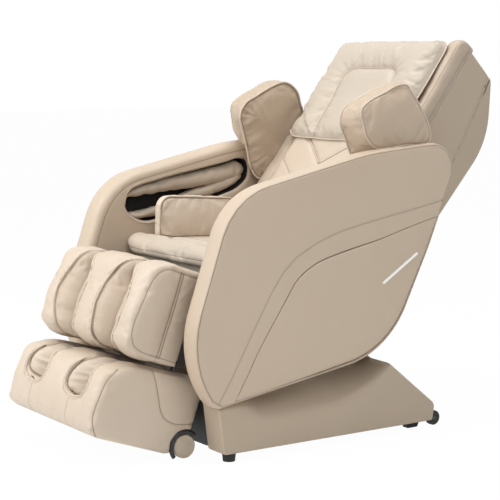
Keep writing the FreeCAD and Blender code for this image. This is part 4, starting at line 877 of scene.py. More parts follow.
def seat_sewn(spot):
    """Sewn down behind the front roll and along the seat's two long seams."""
    top = spot[:, 2] > 520
    roll = np.abs(spot[:, 1] - 106) < 5
    long = (np.abs(np.abs(spot[:, 0]) - 205) < 5) & (spot[:, 1] > 106)
    return (top & (roll | long) | (spot[:, 2] < 470)).astype(float)


stuffed(seat, 14, 0.0085, 0.02, 4.0, seat_sewn)
spot = chair_flat(seat)
top = spot[:, 2] > 530
gathered(seat, [(-320, 106), (320, 106)], spot[:, :2], top, 2.0, 30, 42, 61)
pushed(seat, top * drawn_in(spot, 62, 70, 1.2))
spot = chair_flat(seat)
sewn(seat, [(-320, 106), (320, 106)], spot[:, :2], top, 1, 3.5, 7)
sewn(seat, [(205, 106), (205, 460)], np.stack([np.abs(spot[:, 0]), spot[:, 1]], -1), top, 2, 2.5,
     7)
sewn(seat, [(-320, 527), (320, 527)], spot[:, [0, 2]], spot[:, 1] < 60, 3, 1.5, 5)
seat.data.materials.append(leather("seat_leather", (0.54, 0.465, 0.38), (0.52, 0.44, 0.355),
                                   [(1, 0.7), (2, 0.6), (3, 0.9)]))
seat.data.materials.append(black_cloth)
under = face_middles(seat)[:, 2] < 0.478
seat.data.polygons.foreach_set("material_index", under.astype(np.int32))
fitted(seat, "seat", "seat_cushion")

# ---- Hip pads -----------------------------------------------------------------------
# Upright pads on the seat beside the hips, foam over an air cell in leather, with a
# piped seam round the inner face. They are screwed to the side panels' inner faces.
HIP_CORNERS = [(112, 560, 8), (118, 686, 38), (394, 668, 24), (374, 541.7, 10), (162, 549.4, 20)]


outline = evenly(rounded(HIP_CORNERS), 220)
bead_leather = leather("bead_leather", (0.61, 0.515, 0.415), (0.58, 0.485, 0.385))
hip = skin("hip_pad_cover_left", pad_rows(outline, 218, 253, 7, 1.5, on_chair, 8, 1))


def hip_sewn(spot):
    """Sewn down along the two piped edges."""
    line = np.abs(offset_from(outline[::4], spot[:, 1:], True)[0])
    return ((line < 7) & (np.abs(spot[:, 0] - 235) > 12)).astype(float)


stuffed(hip, 9, 0.005, 0.03, 4.0, hip_sewn)
spot = chair_flat(hip)
gathered(hip, outline[::4], spot[:, 1:], spot[:, 0] < 228, 1.8, 30, 34, 51, True)
pushed(hip, drawn_in(spot, 52, 50, 0.8))
spot = chair_flat(hip)
sewn(hip, (outline + inward(outline) * 6.5)[::4], spot[:, 1:], spot[:, 0] < 226, 1, 1.0, 4, True)
# The hip leather is made lighter than the rest of the leather: painted light on the pads' inner
# faces.
hip.data.materials.append(leather("hip_leather", (0.68, 0.58, 0.475), (0.65, 0.55, 0.445),
                                  [(1, 1.1)]))
trim = bead("hip_bead_left",
            laid_on(on_chair(219.5, *(outline + inward(outline) * 2.4).T), hip, 1.6), 2.6)
trim.data.materials.append(bead_leather)
for side, made in SIDES:
    fitted(made(hip, f"hip_pad_cover_{side}"), "seat", f"hip_pad_{side}")
    fitted(made(trim, f"hip_bead_{side}"), "seat")

# ---- Back pad and side pads ---------------------------------------------------------
# The back's long foam pad in leather with slanted sewn lines, between two side pads that
# run the length of the back. All are laced to the moulded shell behind them.
BACK_CORNERS = [(-62, 62, 6), (-110, 62, 24), (-115, 250, 900), (-113, 396, 24), (-73, 430, 24),
                (-72, 785, 8), (-40, 785, 8), (-40, 400, 20)]
back = skin("back_pad_cover", pad_rows(evenly(rounded(BACK_CORNERS), 260), -222, 222, 10, 0,
                                       back_to_chair, 60))
stuffed(back, 9, 0.009, 0.01)


pad_leather = leather("pad_leather", BEIGE, BEIGE_SHADE, [(1, 0.5), (2, 2.4), (3, 0.5)])
spot = back_flat(back)
# The pad's rear is cut away between the side pads, for the massage rollers.
cut_away = (np.abs(spot[:, 0]) < 196) & (spot[:, 2] > 72) & (spot[:, 2] < 742)
spot[:, 1] = np.where(cut_away, np.minimum(spot[:, 1], -62.8), spot[:, 1])
placed(back, back_to_chair(*spot.T))
flat, front = np.stack([np.abs(spot[:, 0]), spot[:, 2]], -1), spot[:, 1] < -95
sewn(back, [(236, 322), (149, 267), (0, 170)], flat, front, 1, 1.5, 7)
sewn(back, [(126, 380), (113, 371), (19, 302), (0, 288)], flat, front, 2, 6, 10)
sewn(back, [(222, 120), (0, 96)], flat, front, 3, 1.5, 7)
back.data.materials.append(pad_leather)
for side, way in (("left", 1), ("right", -1)):
    run = np.linspace(0.02, 1, 50)[:, None] * np.array([[126 * way, 92]]) + [0, 288]
    trim = bead(f"back_bead_{side}", laid_on(back_to_chair(run[:, 0], -112, run[:, 1]), back, 0.8),
                2.2,
                False)
    trim.data.materials.append(bead_leather)
    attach(trim, "back")
fitted(back, "back", "back_pad")

SIDE_CORNERS = [(-19.5, 62, 6), (-104, 62, 26), (-112, 250, 300), (-111, 392, 20), (-88, 424, 20),
                (-92, 797, 34), (-24, 793, 10)]
side_pad = skin("back_side_cover_left",
                pad_rows(evenly(rounded(SIDE_CORNERS), 260), 223, 278, 12, 1,
                                                 back_to_chair, 12, 1.5))
stuffed(side_pad, 6, 0.006, 0.03)
spot = back_flat(side_pad)
face = (spot[:, 1] < -60) & (spot[:, 0] < 262)
gathered(side_pad, [(222, 62), (222, 800)], spot[:, [0, 2]], face, 3.6, 26, 46, 21)
pushed(side_pad, drawn_in(spot, 22, 45, 1.2))
spot = back_flat(side_pad)
sewn(side_pad, [(272, 40), (272, 830)], spot[:, [0, 2]], spot[:, 1] < -60, 1, 1.0, 5)
sewn(side_pad, [(-46, 40), (-46, 830)], spot[:, 1:], spot[:, 0] > 270, 2, 1.0, 5)
side_pad.data.materials.append(leather("side_leather", (0.46, 0.375, 0.29), (0.435, 0.35, 0.265),
                                       [(1, 0.5), (2, 0.5)]))
for side, made in SIDES:
    fitted(made(side_pad, f"back_side_cover_{side}"), "back", f"back_side_pad_{side}")

# ---- Back shell and rear cover ------------------------------------------------------
# The back's moulded shell and the cover screwed into its rear, both in beige plastic, with
# a narrow joint between them. Their sides draw in towards the rear, and the shell's mouth
# is open in front for the massage rollers.
SHELL_CORNERS = [(-25, 62, 5), (-34, 783, 8), (81, 767, 18), (201, 615, 218), (168, 122, 138),
                 (116, 66, 26)]
COVER_SHAPE = [(70, 771, 3), (85, 769, 18), (205, 616, 220), (172, 120, 140), (121, 62, 20),
               (112, 62, 4),
               (126, 380, 300), (122, 470, 300), (92, 660, 300)]
JOINT = [(60, 111), (380, 123), (470, 119), (660, 89), (780, 64)]


def lipped_side(loop):
    """The shell's half width, 4 mm less behind the joint, where the cover laps over it."""
    return shell_side(loop) - 4 * (loop[:, 0] > read_off(loop[:, 1], JOINT))


def shell_side(loop):
    """Half width of the shell at each place: 277.5 less 15 t^1.3, where t runs from 0 at a
    depth of 90 to 1 at the rear."""
    return 277.5 - 15 * np.clip((loop[:, 0] - 90) / 115, 0, 1) ** 1.3


back_skin = skin("back_shell_skin",
                 pad_rows(evenly(rounded(SHELL_CORNERS), 300), lambda loop: -lipped_side(loop),
                                             lipped_side, 4, 0, back_to_chair, 24))
rear_skin = skin("back_cover_skin", pad_rows(evenly(rounded(COVER_SHAPE), 300),
                                             lambda loop: 1.2 - shell_side(loop),
                                             lambda loop: shell_side(loop) - 1.2, 7, 0,
                                             back_to_chair, 24))
MOUTH_CORNERS = [(-80, 66.5, 6), (-80, 756, 6), (74, 756, 10), (74, 66.5, 10)]
mouth = skin("mouth_space",
             pad_rows(evenly(rounded(MOUTH_CORNERS), 120), -266, 266, 4, 0, back_to_chair, 10))
cut = back_skin.modifiers.new("mouth", "BOOLEAN")
cut.operation, cut.object, cut.solver = "DIFFERENCE", mouth, "EXACT"
baked(back_skin)
bpy.data.objects.remove(mouth)
for piece, name in ((back_skin, "back_shell"), (rear_skin, "back_rear_cover")):
    piece.data.materials.append(shell_beige)
    fitted(piece, "back", name)

# ---- Head pillow --------------------------------------------------------------------
# A loose soft pillow in leather, quilted with a line that runs up one side, over and
# down the other, and gathered at its piped edge. A flap behind it hangs it over the back.
PILLOW_LINE = evenly(rounded([(-247, 378, 58), (0, 371, 2000), (247, 378, 58), (254, 560, 900),
                              (249, 774, 46),
                              (-249, 774, 46), (-254, 560, 900)]), 280)
QUILT = through([(-92, 372), (-104, 450), (-116, 530), (-127, 592), (-124, 626), (-98, 645),
                 (-40, 647),
                 (40, 647), (98, 645), (124, 626), (127, 592), (116, 530), (104, 450), (92, 372)],
                 60)


def pillow_rest(x, a):
    """How far forward what lies under the pillow stands: b, at the pad in the middle, at
    the side pads beyond, and at the pad's step below."""
    middle = -75 - 39 * (1 - smooth_step((a - 396) / 34))
    return np.minimum(middle, -75 - 15 * smooth_step((np.abs(x) - 200) / 20))


def pillow_rows():
    """Loops from the middle of the front, out to the edge and in over the rear: the line
    scaled by s. The edge lies 8 before a base that slopes forward below; the front stands
    (28 to 46) (1 - exp(-d / 16)) before it at a distance d from the edge, less 8 exp(-(q /
    20)^2) at a distance q from the quilt line, and 9 less inside that line."""
    centre = PILLOW_LINE.mean(0)
    rows = []
    for s in np.linspace(0.03, 0.99, 60):
        loop = centre + (PILLOW_LINE - centre) * s
        edge = np.abs(offset_from(PILLOW_LINE[::5], loop, True)[0])
        line = offset_from(np.vstack([QUILT, QUILT[:1]]), loop)[0]
        inner = line * np.sign(offset_from(np.vstack([QUILT, QUILT[:1]]),
                                           centre[None] + [[0, 60]])[0])
        base = -88 - 30 * (1 - smooth_step((loop[:, 1] - 372) / 190))
        base = np.minimum(base, pillow_rest(*loop.T) - 4)
        high = (28 + 18 * smooth_step((loop[:, 1] - 400) / 160)) * (1 - np.exp(-edge / 16))
        high -= 9 * smooth_step(inner / 60 + 0.3) + 8 * np.exp(-(inner / 20) ** 2) * (edge > 20)
        rows.append(back_to_chair(loop[:, 0], base - 8 - np.maximum(high, 2), loop[:, 1]))
    for s, high in ((1.0, 12), (1.003, 8), (0.998, 4), (0.985, 1)):
        loop = centre + (PILLOW_LINE - centre) * s
        rows.append(back_to_chair(loop[:, 0], pillow_rest(*loop.T) - high, loop[:, 1]))
    for s in np.linspace(0.96, 0.03, 22):
        loop = centre + (PILLOW_LINE - centre) * s
        rows.append(back_to_chair(loop[:, 0], pillow_rest(*loop.T) - 1, loop[:, 1]))
    return np.array(rows)


pillow = skin("head_pillow_cover", pillow_rows())


def quilted(spot):
    """Sewn down within 5 mm of the quilt line on the front, and 7 mm of the edge."""
    where = leaned(spot, *BACK_HINGE)
    line = np.abs(offset_from(QUILT, where[:, [0, 2]])[0])
    edge = np.abs(offset_from(PILLOW_LINE[::4], where[:, [0, 2]], True)[0])
    return np.maximum((line < 5) & (where[:, 1] < -96), edge < 7).astype(float)


stuffed(pillow, 8, 0.006, 0.035, 5.0, quilted)
spot = back_flat(pillow)
flat, front = spot[:, [0, 2]], spot[:, 1] < pillow_rest(spot[:, 0], spot[:, 2]) - 8
gathered(pillow, PILLOW_LINE[::4], flat, front, 2.2, 34, 28, 31, True)
gathered(pillow, QUILT, flat, front, 1.6, 22, 26, 32)
pushed(pillow, front * drawn_in(spot, 33, 55, 1.3))
spot = back_flat(pillow)
flat = spot[:, [0, 2]]
sewn(pillow, QUILT, flat, front, 1, 4.5, 7)
beyond = np.stack([spot[:, 0], spot[:, 1] - pillow_rest(spot[:, 0], spot[:, 2])], -1)
sewn(pillow, [(-300, -4), (300, -4)], beyond,
     offset_from(PILLOW_LINE[::4], flat, True)[0] ** 2 < 196, 2, 0)
# The pillow leather is made darker than the rest of the leather: painted shade to tone down its lit
# front.
pillow.data.materials.append(leather("pillow_leather", (0.495, 0.43, 0.35), (0.475, 0.405, 0.325),
                                     [(1, 0.6), (2, 1.6)]))
centre = PILLOW_LINE.mean(0)
loop = centre + (PILLOW_LINE - centre) * 0.997
path = back_to_chair(loop[:, 0], pillow_rest(*loop.T) - 11, loop[:, 1])
trim = bead("head_pillow_bead", laid_on(path, pillow, 1.4), 2.4)
trim.data.materials.append(bead_leather)
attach(trim, "pillow")
FLAP_HALF = 172
flap_line = evenly(rounded([(-78.5, 700, 0.8), (-78.5, 788, 1.6), (-75, 788, 1.6),
                            (-75, 700, 0.8)]), 160)
flap = skin("head_pillow_flap",
            pad_rows(flap_line, -FLAP_HALF, FLAP_HALF, 0.6, 0, back_to_chair, 24))
flap.data.materials.append(bead_leather)
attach(flap, "pillow")
roll = bead("pillow_hinge_roll",
            back_to_chair(np.linspace(-FLAP_HALF, FLAP_HALF, 40), -75.5, 789.5), 5.0, False)
roll.data.materials.append(bead_leather)
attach(roll, "back")
fitted(pillow, "pillow", "head_pillow")

# ---- Shoulder wings -----------------------------------------------------------------
# Flared pads either side of the shoulders, foam over an air cell in leather: a piped
# inner face, a gusset and a flat outer face. They are bolted to the back's side pads.
WING_OUTER = [(-275, 329), (-297, 348), (-306, 366), (-302, 390), (-272, 451), (-240, 505),
              (-222, 519), (-193, 511), (-141, 493), (-88, 469), (-62, 448), (-58, 432),
              (-120, 372),
              (-161, 331), (-205, 299), (-245, 306), (-275, 329)]
WING_INNER = [(-292, 316), (-305, 340), (-306, 372), (-290, 408), (-250, 485), (-222, 520),
              (-190, 533),
              (-158, 532), (-110, 506), (-50, 466), (-30, 440), (-30, 360), (-62, 262),
              (-104, 217),
              (-130, 219), (-220, 272), (-292, 316)]
WING_CENTRE = (-190, 410)
angle = np.linspace(-math.pi, math.pi, 200, endpoint=False)
aim = np.stack([np.cos(angle), np.sin(angle)], -1)
wing_in, wing_out = (reach(through(points)[1:], WING_CENTRE, angle)
                     for points in (WING_INNER, WING_OUTER))


def wing_ring(radius, x):
    """The loop at a radius in each direction about the wing's centre; the wing toes in by
    up to 24 mm towards its front edge."""
    loop = np.array(WING_CENTRE) + aim * radius[:, None]
    toe = 24 * np.clip((-130 - loop[:, 0]) / 170, 0, 1)
    return back_to_chair(x - toe, *loop.T)


def wing_rows():
    """Loops from the middle of the inner face, which bulges by 7 (1 - s^2), over its
    rounded edge, the gusset and the outer edge to the middle of the outer face."""
    rows = [wing_ring((wing_in - 7) * s, 281 - 7 * (1 - s * s)) for s in np.linspace(0.05, 1, 16)]
    rows += [wing_ring(wing_in - 7 * (1 - math.sin(turn)), 281 + 7 * (1 - math.cos(turn)))
             for turn in np.linspace(0.2, math.pi / 2, 5)]
    rows += [wing_ring(wing_in * (1 - t) + wing_out * t + 3 * math.sin(math.pi * t), 288 + 68 * t)
             for t in np.linspace(0.05, 0.95, 14)]
    rows += [wing_ring(wing_out - 8 * (1 - math.cos(turn)), 356 + 8 * math.sin(turn))
             for turn in np.linspace(0, math.pi / 2, 5)]
    rows += [wing_ring((wing_out - 8) * s, 364 + 3 * (1 - s * s))
             for s in np.linspace(1, 0.05, 14)]
    return np.array(rows)


wing = skin("shoulder_wing_left", wing_rows())
piped = wing_ring(wing_in - 2.2, 283.2)
edged = wing_ring(wing_out - 3.0, 361.0)


def wing_sewn(spot):
    """Sewn down within 6 mm of the two seams."""
    spot = on_chair(*spot.T)
    gap = [np.linalg.norm(spot[:, None] - path[None, ::4], axis=2).min(1)
           for path in (piped, edged)]
    return (np.minimum(*gap) < 0.006).astype(float)


stuffed(wing, 9, 0.006, 0.035, 4.0, wing_sewn)
spot = back_flat(wing)
flat, inside = spot[:, 1:], spot[:, 0] < 286
INNER_LINE = np.array(WING_CENTRE) + aim[::4] * (wing_in[::4] - 3)[:, None]
OUTER_LINE = np.array(WING_CENTRE) + aim[::4] * (wing_out[::4] - 6)[:, None]
low = smooth_step((400 - spot[:, 2] - 0.4 * spot[:, 1] - 60) / 90)
gathered(wing, INNER_LINE, flat, inside * (0.2 + low), 7.0, 44, 34, 41, True)
gathered(wing, OUTER_LINE, flat, ~inside * (spot[:, 0] > 340), 0.7, 20, 30, 42, True)
pushed(wing, drawn_in(spot, 43, 50, 0.8))
spot = back_flat(wing)
# Painted shadow: a dark line 8 mm inside the piping stands for the shadow under the bead; the
# surface also sinks 1 mm along it.
sewn(wing, np.array(WING_CENTRE) + aim[::4] * (wing_in[::4] - 8)[:, None], spot[:, 1:], inside, 1,
     1.0, 5, True)
sewn(wing, OUTER_LINE, spot[:, 1:],
     spot[:, 0] > 345 - 24 * np.clip((-130 - spot[:, 1]) / 170, 0, 1), 2, 1.2, 4, True)
# The wing leather is made darker than the rest of the leather: painted shade for the wings' inner
# faces, which lie in shade.
wing.data.materials.append(leather("wing_leather", (0.495, 0.395, 0.295), (0.465, 0.365, 0.27),
                                   [(1, 1.0)]))
trim = bead("wing_bead_left", laid_on(piped, wing, 2.8), 3.2)
trim.data.materials.append(bead_leather)
edge_trim = bead("wing_edge_bead_left", laid_on(edged, wing, 1.6), 2.2)
edge_trim.data.materials.append(bead_leather)
for side, made in SIDES:
    fitted(made(wing, f"shoulder_wing_{side}"), "back", f"shoulder_pad_{side}")
    fitted(made(trim, f"wing_bead_{side}"), "back")
    fitted(made(edge_trim, f"wing_edge_bead_{side}"), "back")

# ---- Calf pads ----------------------------------------------------------------------
# Three upright pads over the leg rest's shell, foam in leather, with a hollow for each
# calf between them: beads run down the pads' edges, the hollows are lined, and the outer
# pads run on to the rear past a double stitched line. Staples hold them to the shell.
CALF_CORNERS = [(-76, -263, 8), (-150, -265, 40), (-196, -238, 40), (-203, -150, 220),
                (-178, -12, 56),
                (-120, 7, 30), (-76, 7, 10)]
OUTER_CALF_CORNERS = [(-12, -263, 8)] + CALF_CORNERS[1:6] + [(-12, 7, 10)]
HOLLOW_INNER = [(-300, 60), (-262, 58), (-227, 56), (-200, 52), (-150, 47), (-90, 50), (-50, 68),
                (-20, 86), (6, 102), (30, 108)]
HOLLOW_OUTER = [(-300, 160), (-262, 164), (-227, 171), (-191, 188), (-138, 197), (-98, 190),
                (-53, 171),
                (-20, 156), (6, 140), (30, 136)]


def hollow_inner(loop):
    """Half width of the middle pad at each height up the leg."""
    return read_off(loop[:, 1], HOLLOW_INNER)


def hollow_outer(loop):
    """Where an outer pad begins at each height up the leg."""
    return read_off(loop[:, 1], HOLLOW_OUTER)


calf_line = evenly(rounded(CALF_CORNERS), 220)
middle = skin("calf_middle_cover",
              pad_rows(calf_line, lambda loop: -hollow_inner(loop), hollow_inner,
                                            10, 0, leg_to_chair, 34, 3))
outer_line = evenly(rounded(OUTER_CALF_CORNERS), 260)
calf = skin("calf_pad_cover_left",
            pad_rows(outer_line, hollow_outer, 259, 12, 1, leg_to_chair, 18, 2))
BODY_CORNERS = [(-14, -261, 8), (-79.5, -261, 6), (-79.5, 0, 6), (-14, 0, 8)]
calf_body = skin("calf_body_cover", pad_rows(evenly(rounded(BODY_CORNERS), 120), -244, 244, 4, 0,
                                             leg_to_chair, 60))


def calf_sewn(spot):
    """Sewn down where the pads meet the leg rest's body, and along the hollows' edges."""
    leg = leaned(spot, *LEG_HINGE)
    side = np.abs(leg[:, 0])
    edge = [np.abs(side - read_off(leg[:, 2], line)) < 12 for line in (HOLLOW_INNER, HOLLOW_OUTER)]
    return ((leg[:, 1] > -92) & ((side < 250) | (np.abs(leg[:, 1] + 80) < 6)) | edge[0]
            | edge[1]).astype(float)


for piece, seed in ((middle, 11), (calf, 12)):
    stuffed(piece, 6, 0.0065, 0.02, 4.0, calf_sewn)
    spot = leg_flat(piece)
    gathered(piece, [(-320, 4), (320, 4)], spot[:, [0, 2]], spot[:, 1] < -100, 1.5, 30, 30, seed)
    gathered(piece, [(-320, -262), (320, -262)], spot[:, [0, 2]], spot[:, 1] < -100, 1.5, 30, 30,
             seed)
    pushed(piece, drawn_in(chair_flat(piece), seed, 60, 0.9))
leg = leg_flat(calf)
CALF_SIDE = [(-12, -13), (-92, -12), (-131, -13), (-153, -27), (-167, -53), (-175, -97),
             (-182, -141),
             (-186, -179), (-181, -216), (-166, -236), (-140, -246), (-86, -248), (-12, -250)]
sewn(calf, through(CALF_SIDE, 60), leg[:, 1:], leg[:, 0] > 240, 1, 1.3, 5)
sewn(calf, [(-85, -8), (-85, -252)], leg[:, 1:], leg[:, 0] > 240, 2, 0, 5)
sewn(calf, [(-77, -8), (-77, -252)], leg[:, 1:], leg[:, 0] > 240, 3, 0, 5)
pushed(calf, -1.8 * (leg[:, 0] > 240) * np.exp(-((leg[:, 1] + 81) / 7) ** 2))
unsewn(middle, 1, 2, 3)
# Dark lines along the hollows' edges on the pads: sewn joints, drawn 2 mm wide as painted shade
# where the pads meet the lining.
for piece, wall in ((middle, HOLLOW_INNER), (calf, HOLLOW_OUTER)):
    leg = leg_flat(piece)
    sewn(piece, [(x, a) for a, x in wall], np.stack([np.abs(leg[:, 0]), leg[:, 2]], -1),
         leg[:, 1] < -84, 4, 0)
calf_leather = leather("calf_leather", BEIGE, BEIGE_SHADE,
                       [(1, 0.7), (2, 1.0), (3, 1.0), (4, 2.0)])
for piece in (middle, calf):
    piece.data.materials.append(calf_leather)
# The leg rest's body behind the pads is black plastic: painted shade for the dark gap under the
# seat's front roll.
calf_body.data.materials.append(black_plastic)


def lining_rows():
    """Loops across a calf's hollow: the pads' profile with its front let in by a depth
    that grows evenly from both edges to the middle, 66 (1 - |2u - 1|) - 3.5, less a swelling
    of 13 sin(pi |2u - 1|), and less at the top and the bottom."""
    rows = []
    for u in np.linspace(0, 1, 44):
        loop = calf_line.copy()
        inner, outer = hollow_inner(loop) - 12, hollow_outer(loop) + 12
        x = inner + (outer - inner) * u
        front = smooth_step((-84 - loop[:, 0]) / 50)
        deep = 66 * (1 - abs(2 * u - 1)) - 3.5 - 13 * math.sin(math.pi * abs(2 * u - 1))
        close = 0.25 + 0.75 * smooth_step((0 - loop[:, 1]) / 70)
        low = 0.55 + 0.45 * smooth_step((loop[:, 1] + 266) / 60)
        loop[:, 0] += front * deep * close * low
        loop[:, 0] = np.minimum(loop[:, 0], -78)
        rows.append(leg_to_chair(x, loop[:, 0], np.clip(loop[:, 1], -259, 3)))
    return np.array(rows)


lining = skin("calf_lining_left", lining_rows())
stuffed(lining, 5, 0.0065, 0.03, 2.0, calf_sewn)
leg = leg_flat(lining)
for edge, way in ((HOLLOW_INNER, 1), (HOLLOW_OUTER, -1)):
    gathered(lining, np.array(edge)[:, ::-1], leg[:, [0, 2]], leg[:, 1] < -84, 1.6, 34, 30, 14)
pushed(lining, drawn_in(chair_flat(lining), 13, 50, 1.1))
leg = leg_flat(lining)
valley = [(hollow_inner(np.array([[0, a]]))[0] * 0.5 + hollow_outer(np.array([[0, a]]))[0] * 0.5,
           a)
          for a in np.linspace(0, -262, 24)]
sewn(lining, valley, leg[:, [0, 2]], leg[:, 1] < -80, 1, 5, 7)
# Dark lines along the lining's edges: sewn joints, drawn up to 3.2 mm wide as painted shade where
# the lining runs under the pads.
for slot, edge, way in ((2, HOLLOW_INNER, 3), (3, HOLLOW_OUTER, -3)):
    line = [(x + way, a) for a, x in edge]
    sewn(lining, line, leg[:, [0, 2]], leg[:, 1] < -84, slot, 5, 6)
lining.data.materials.append(leather("lining_leather", (0.49, 0.395, 0.30), (0.465, 0.37, 0.28),
                                     [(1, 0.9), (2, 3.2), (3, 1.6)]))


def calf_front(a):
    """The pads' front line: b at each height up the leg."""
    part = calf_line[calf_line[:, 0] < -100]
    part = part[np.argsort(part[:, 1])]
    return np.interp(a, part[:, 1], part[:, 0])


for name, edge, way in (("inner", HOLLOW_INNER, -1), ("outer", HOLLOW_OUTER, 1)):
    high = np.linspace(-6, -252, 120)
    loop = np.stack([calf_front(high), high], -1)
    x = read_off(high, edge) + way * 1.5
    path = laid_on(leg_to_chair(x, calf_front(high) + 1.0, high), middle if way < 0 else calf, 1.6)
    line = bead(f"calf_bead_{name}_left", path, 2.8, False)
    line.data.materials.append(bead_leather)
    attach(line, "legrest")
    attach(mirrored(line, f"calf_bead_{name}_right"), "legrest")
fitted(calf_body, "legrest", "calf_shell")
fitted(middle, "legrest", "calf_middle_pad")
for side, made in SIDES:
    fitted(made(calf, f"calf_pad_cover_{side}"), "legrest", f"calf_pad_{side}")
    fitted(made(lining, f"calf_lining_{side}"), "legrest", "calf_airbags")

# ---- Foot unit ----------------------------------------------------------------------
# A padded block in leather with an open boot for each foot, its piped notch running down
# the front. It slides out on two rods, and rests on a small wheel at each rear corner.
FOOT_CORNERS = [(-190, -501, 30), (-222, -486, 16), (-231, -400, 200), (-222, -320, 60),
                (-150, -284, 60),
                (97, -271, 25), (98, -425, 8), (44, -498, 8)]
NOTCH_HALF = [(-410, 0), (-409, 18), (-405, 34), (-399, 46), (-388, 56), (-374, 60), (-355, 59),
              (-335, 54),
              (-310, 47), (-285, 43), (-262, 42)]
foot_line = evenly(rounded(FOOT_CORNERS), 260)
foot = skin("foot_unit_cover", pad_rows(foot_line, -258.6, 258.6, 16, 1, leg_to_chair, 90))


def boot_rows():
    """Loops up a boot's space: a rounded rectangle at each height."""
    rows = []
    for height, front, rear, half in ((-470, -196, 60, 44), (-462, -202, 62, 50),
                                      (-410, -202, 62, 56),
                                      (-200, -202, 62, 57)):
        corner = [(-half, front, 20), (half, front, 20), (half, rear, 20), (-half, rear, 20)]
        line = evenly(rounded(corner), 96)
        rows.append(leg_to_chair(122 + line[:, 0], line[:, 1], height))
    return np.array(rows)


notch_side = through([(half, a) for a, half in NOTCH_HALF], 60)
notch_line = evenly(np.vstack([notch_side * [-1, 1], notch_side[::-1]]), 120)
boot = skin("boot_space", boot_rows())
notch = skin("notch_space", np.array([leg_to_chair(123 + notch_line[:, 0], b, notch_line[:, 1])
                                      for b in (-300, -260, -230, -170, -60)]))
WHEEL_CENTRE, ARCH_RADIUS = (87, -463), 46


def about_wheel(x, radius, turn):
    """The places at a radius about the wheel's axle: its centre plus radius * (cos, sin)."""
    return leg_to_chair(x, WHEEL_CENTRE[0] + radius * np.cos(turn),
                        WHEEL_CENTRE[1] + radius * np.sin(turn))


turn = np.linspace(0, 2 * math.pi, 64, endpoint=False) + 0.013
arch = skin("arch_space", np.array([about_wheel(x, ARCH_RADIUS, turn) for x in (226, 240, 290)]))
cutters = [boot, notch, arch]
cutters += [mirrored(piece, piece.name + "_right") for piece in cutters]
for cutter in cutters:
    cut = foot.modifiers.new("cut", "BOOLEAN")
    cut.operation, cut.object = "DIFFERENCE", cutter
    cut.solver = "FAST" if cutter.name.startswith("arch") else "EXACT"
baked(foot)
for cutter in cutters:
    bpy.data.objects.remove(cutter)


def foot_sewn(spot):
    """Sewn down round the two notches, the arches and under the sole."""
    leg = leaned(spot, *LEG_HINGE)
    side = np.abs(leg[:, 0])
    ring = np.abs(offset_from(notch_line[::3] + [123, 0], np.stack([side, leg[:, 2]], -1),
                              True)[0])
    wheel = np.abs(np.hypot(leg[:, 1] - WHEEL_CENTRE[0], leg[:, 2] - WHEEL_CENTRE[1])
                   - ARCH_RADIUS)
    return np.maximum.reduce([(ring < 8) & (leg[:, 1] < -80), (wheel < 8) & (side > 220),
                              leg[:, 2] < -490, leg[:, 1] > 80]).astype(float)


stuffed(foot, 4, 0.0072, 0.012, 3.0, foot_sewn)
leg = leg_flat(foot)
pushed(foot, (leg[:, 2] > -480) * drawn_in(leg, 71, 90, 0.5))
leg = leg_flat(foot)
side, flat = np.abs(leg[:, 0]), leg[:, 1:]
FOOT_SIDE = [(-180, -503), (-191, -497), (-214, -471), (-221, -434), (-219, -389), (-210, -343),
             (-190, -312),
             (-166, -292), (-133, -283), (-81, -279), (-29, -277), (19, -274)]
FOOT_PATCH = [(-83, -281), (-64, -318), (-46, -350), (-26, -385), (-5, -403), (19, -409),
              (96, -397)]
sewn(foot, through(FOOT_SIDE, 60), flat, side > 240, 1, 1.6, 5)
sewn(foot, through(FOOT_PATCH, 60), flat, side > 240, 2, 1.6, 5)
sewn(foot, [(112, -420), (112, -520)], np.stack([side, leg[:, 2]], -1), leg[:, 1] < -180, 3, 1.0,
     5)
foot.data.materials.append(leather("foot_leather", BEIGE, BEIGE_SHADE,
                                   [(1, 0.8), (2, 0.8), (3, 0.4)]))
lip_turn = np.radians(np.linspace(62, 238, 60))  # ends above the floor
lip = bead("arch_lip_left", about_wheel(252, 42.5, lip_turn), 6.2, False)
lip.data.materials.append(black_plastic)
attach(lip, "footrest")
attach(mirrored(lip, "arch_lip_right"), "footrest")
disc = [(0.2, 236), (8, 236), (20, 236), (29, 236.5), (32.4, 238.5), (33, 242), (33, 252),
        (32.2, 255.5), (30, 257),
        (27.8, 256.8), (26.6, 255.2), (25, 254.8), (15, 255.3), (6, 255.6), (0.2, 255.6)]
turn = np.linspace(0, 2 * math.pi, 72, endpoint=False)
wheel = skin("wheel_disc_left", np.array([about_wheel(x, r, turn) for r, x in disc]))
wheel.data.materials.append(moulded("wheel_beige", (0.56, 0.47, 0.375), 0.42))
for side, made in SIDES:
    fitted(made(wheel, f"wheel_disc_{side}"), f"wheel_{side}", f"front_wheel_{side}")
fitted(foot, "footrest", "foot_shell")


def foot_front(a):
    """The block's front and top line: b at each height."""
    part = foot_line[(foot_line[:, 0] < -60) & (foot_line[:, 1] > -495)]
    part = part[np.argsort(part[:, 1])]
    return np.interp(a, part[:, 1], part[:, 0])


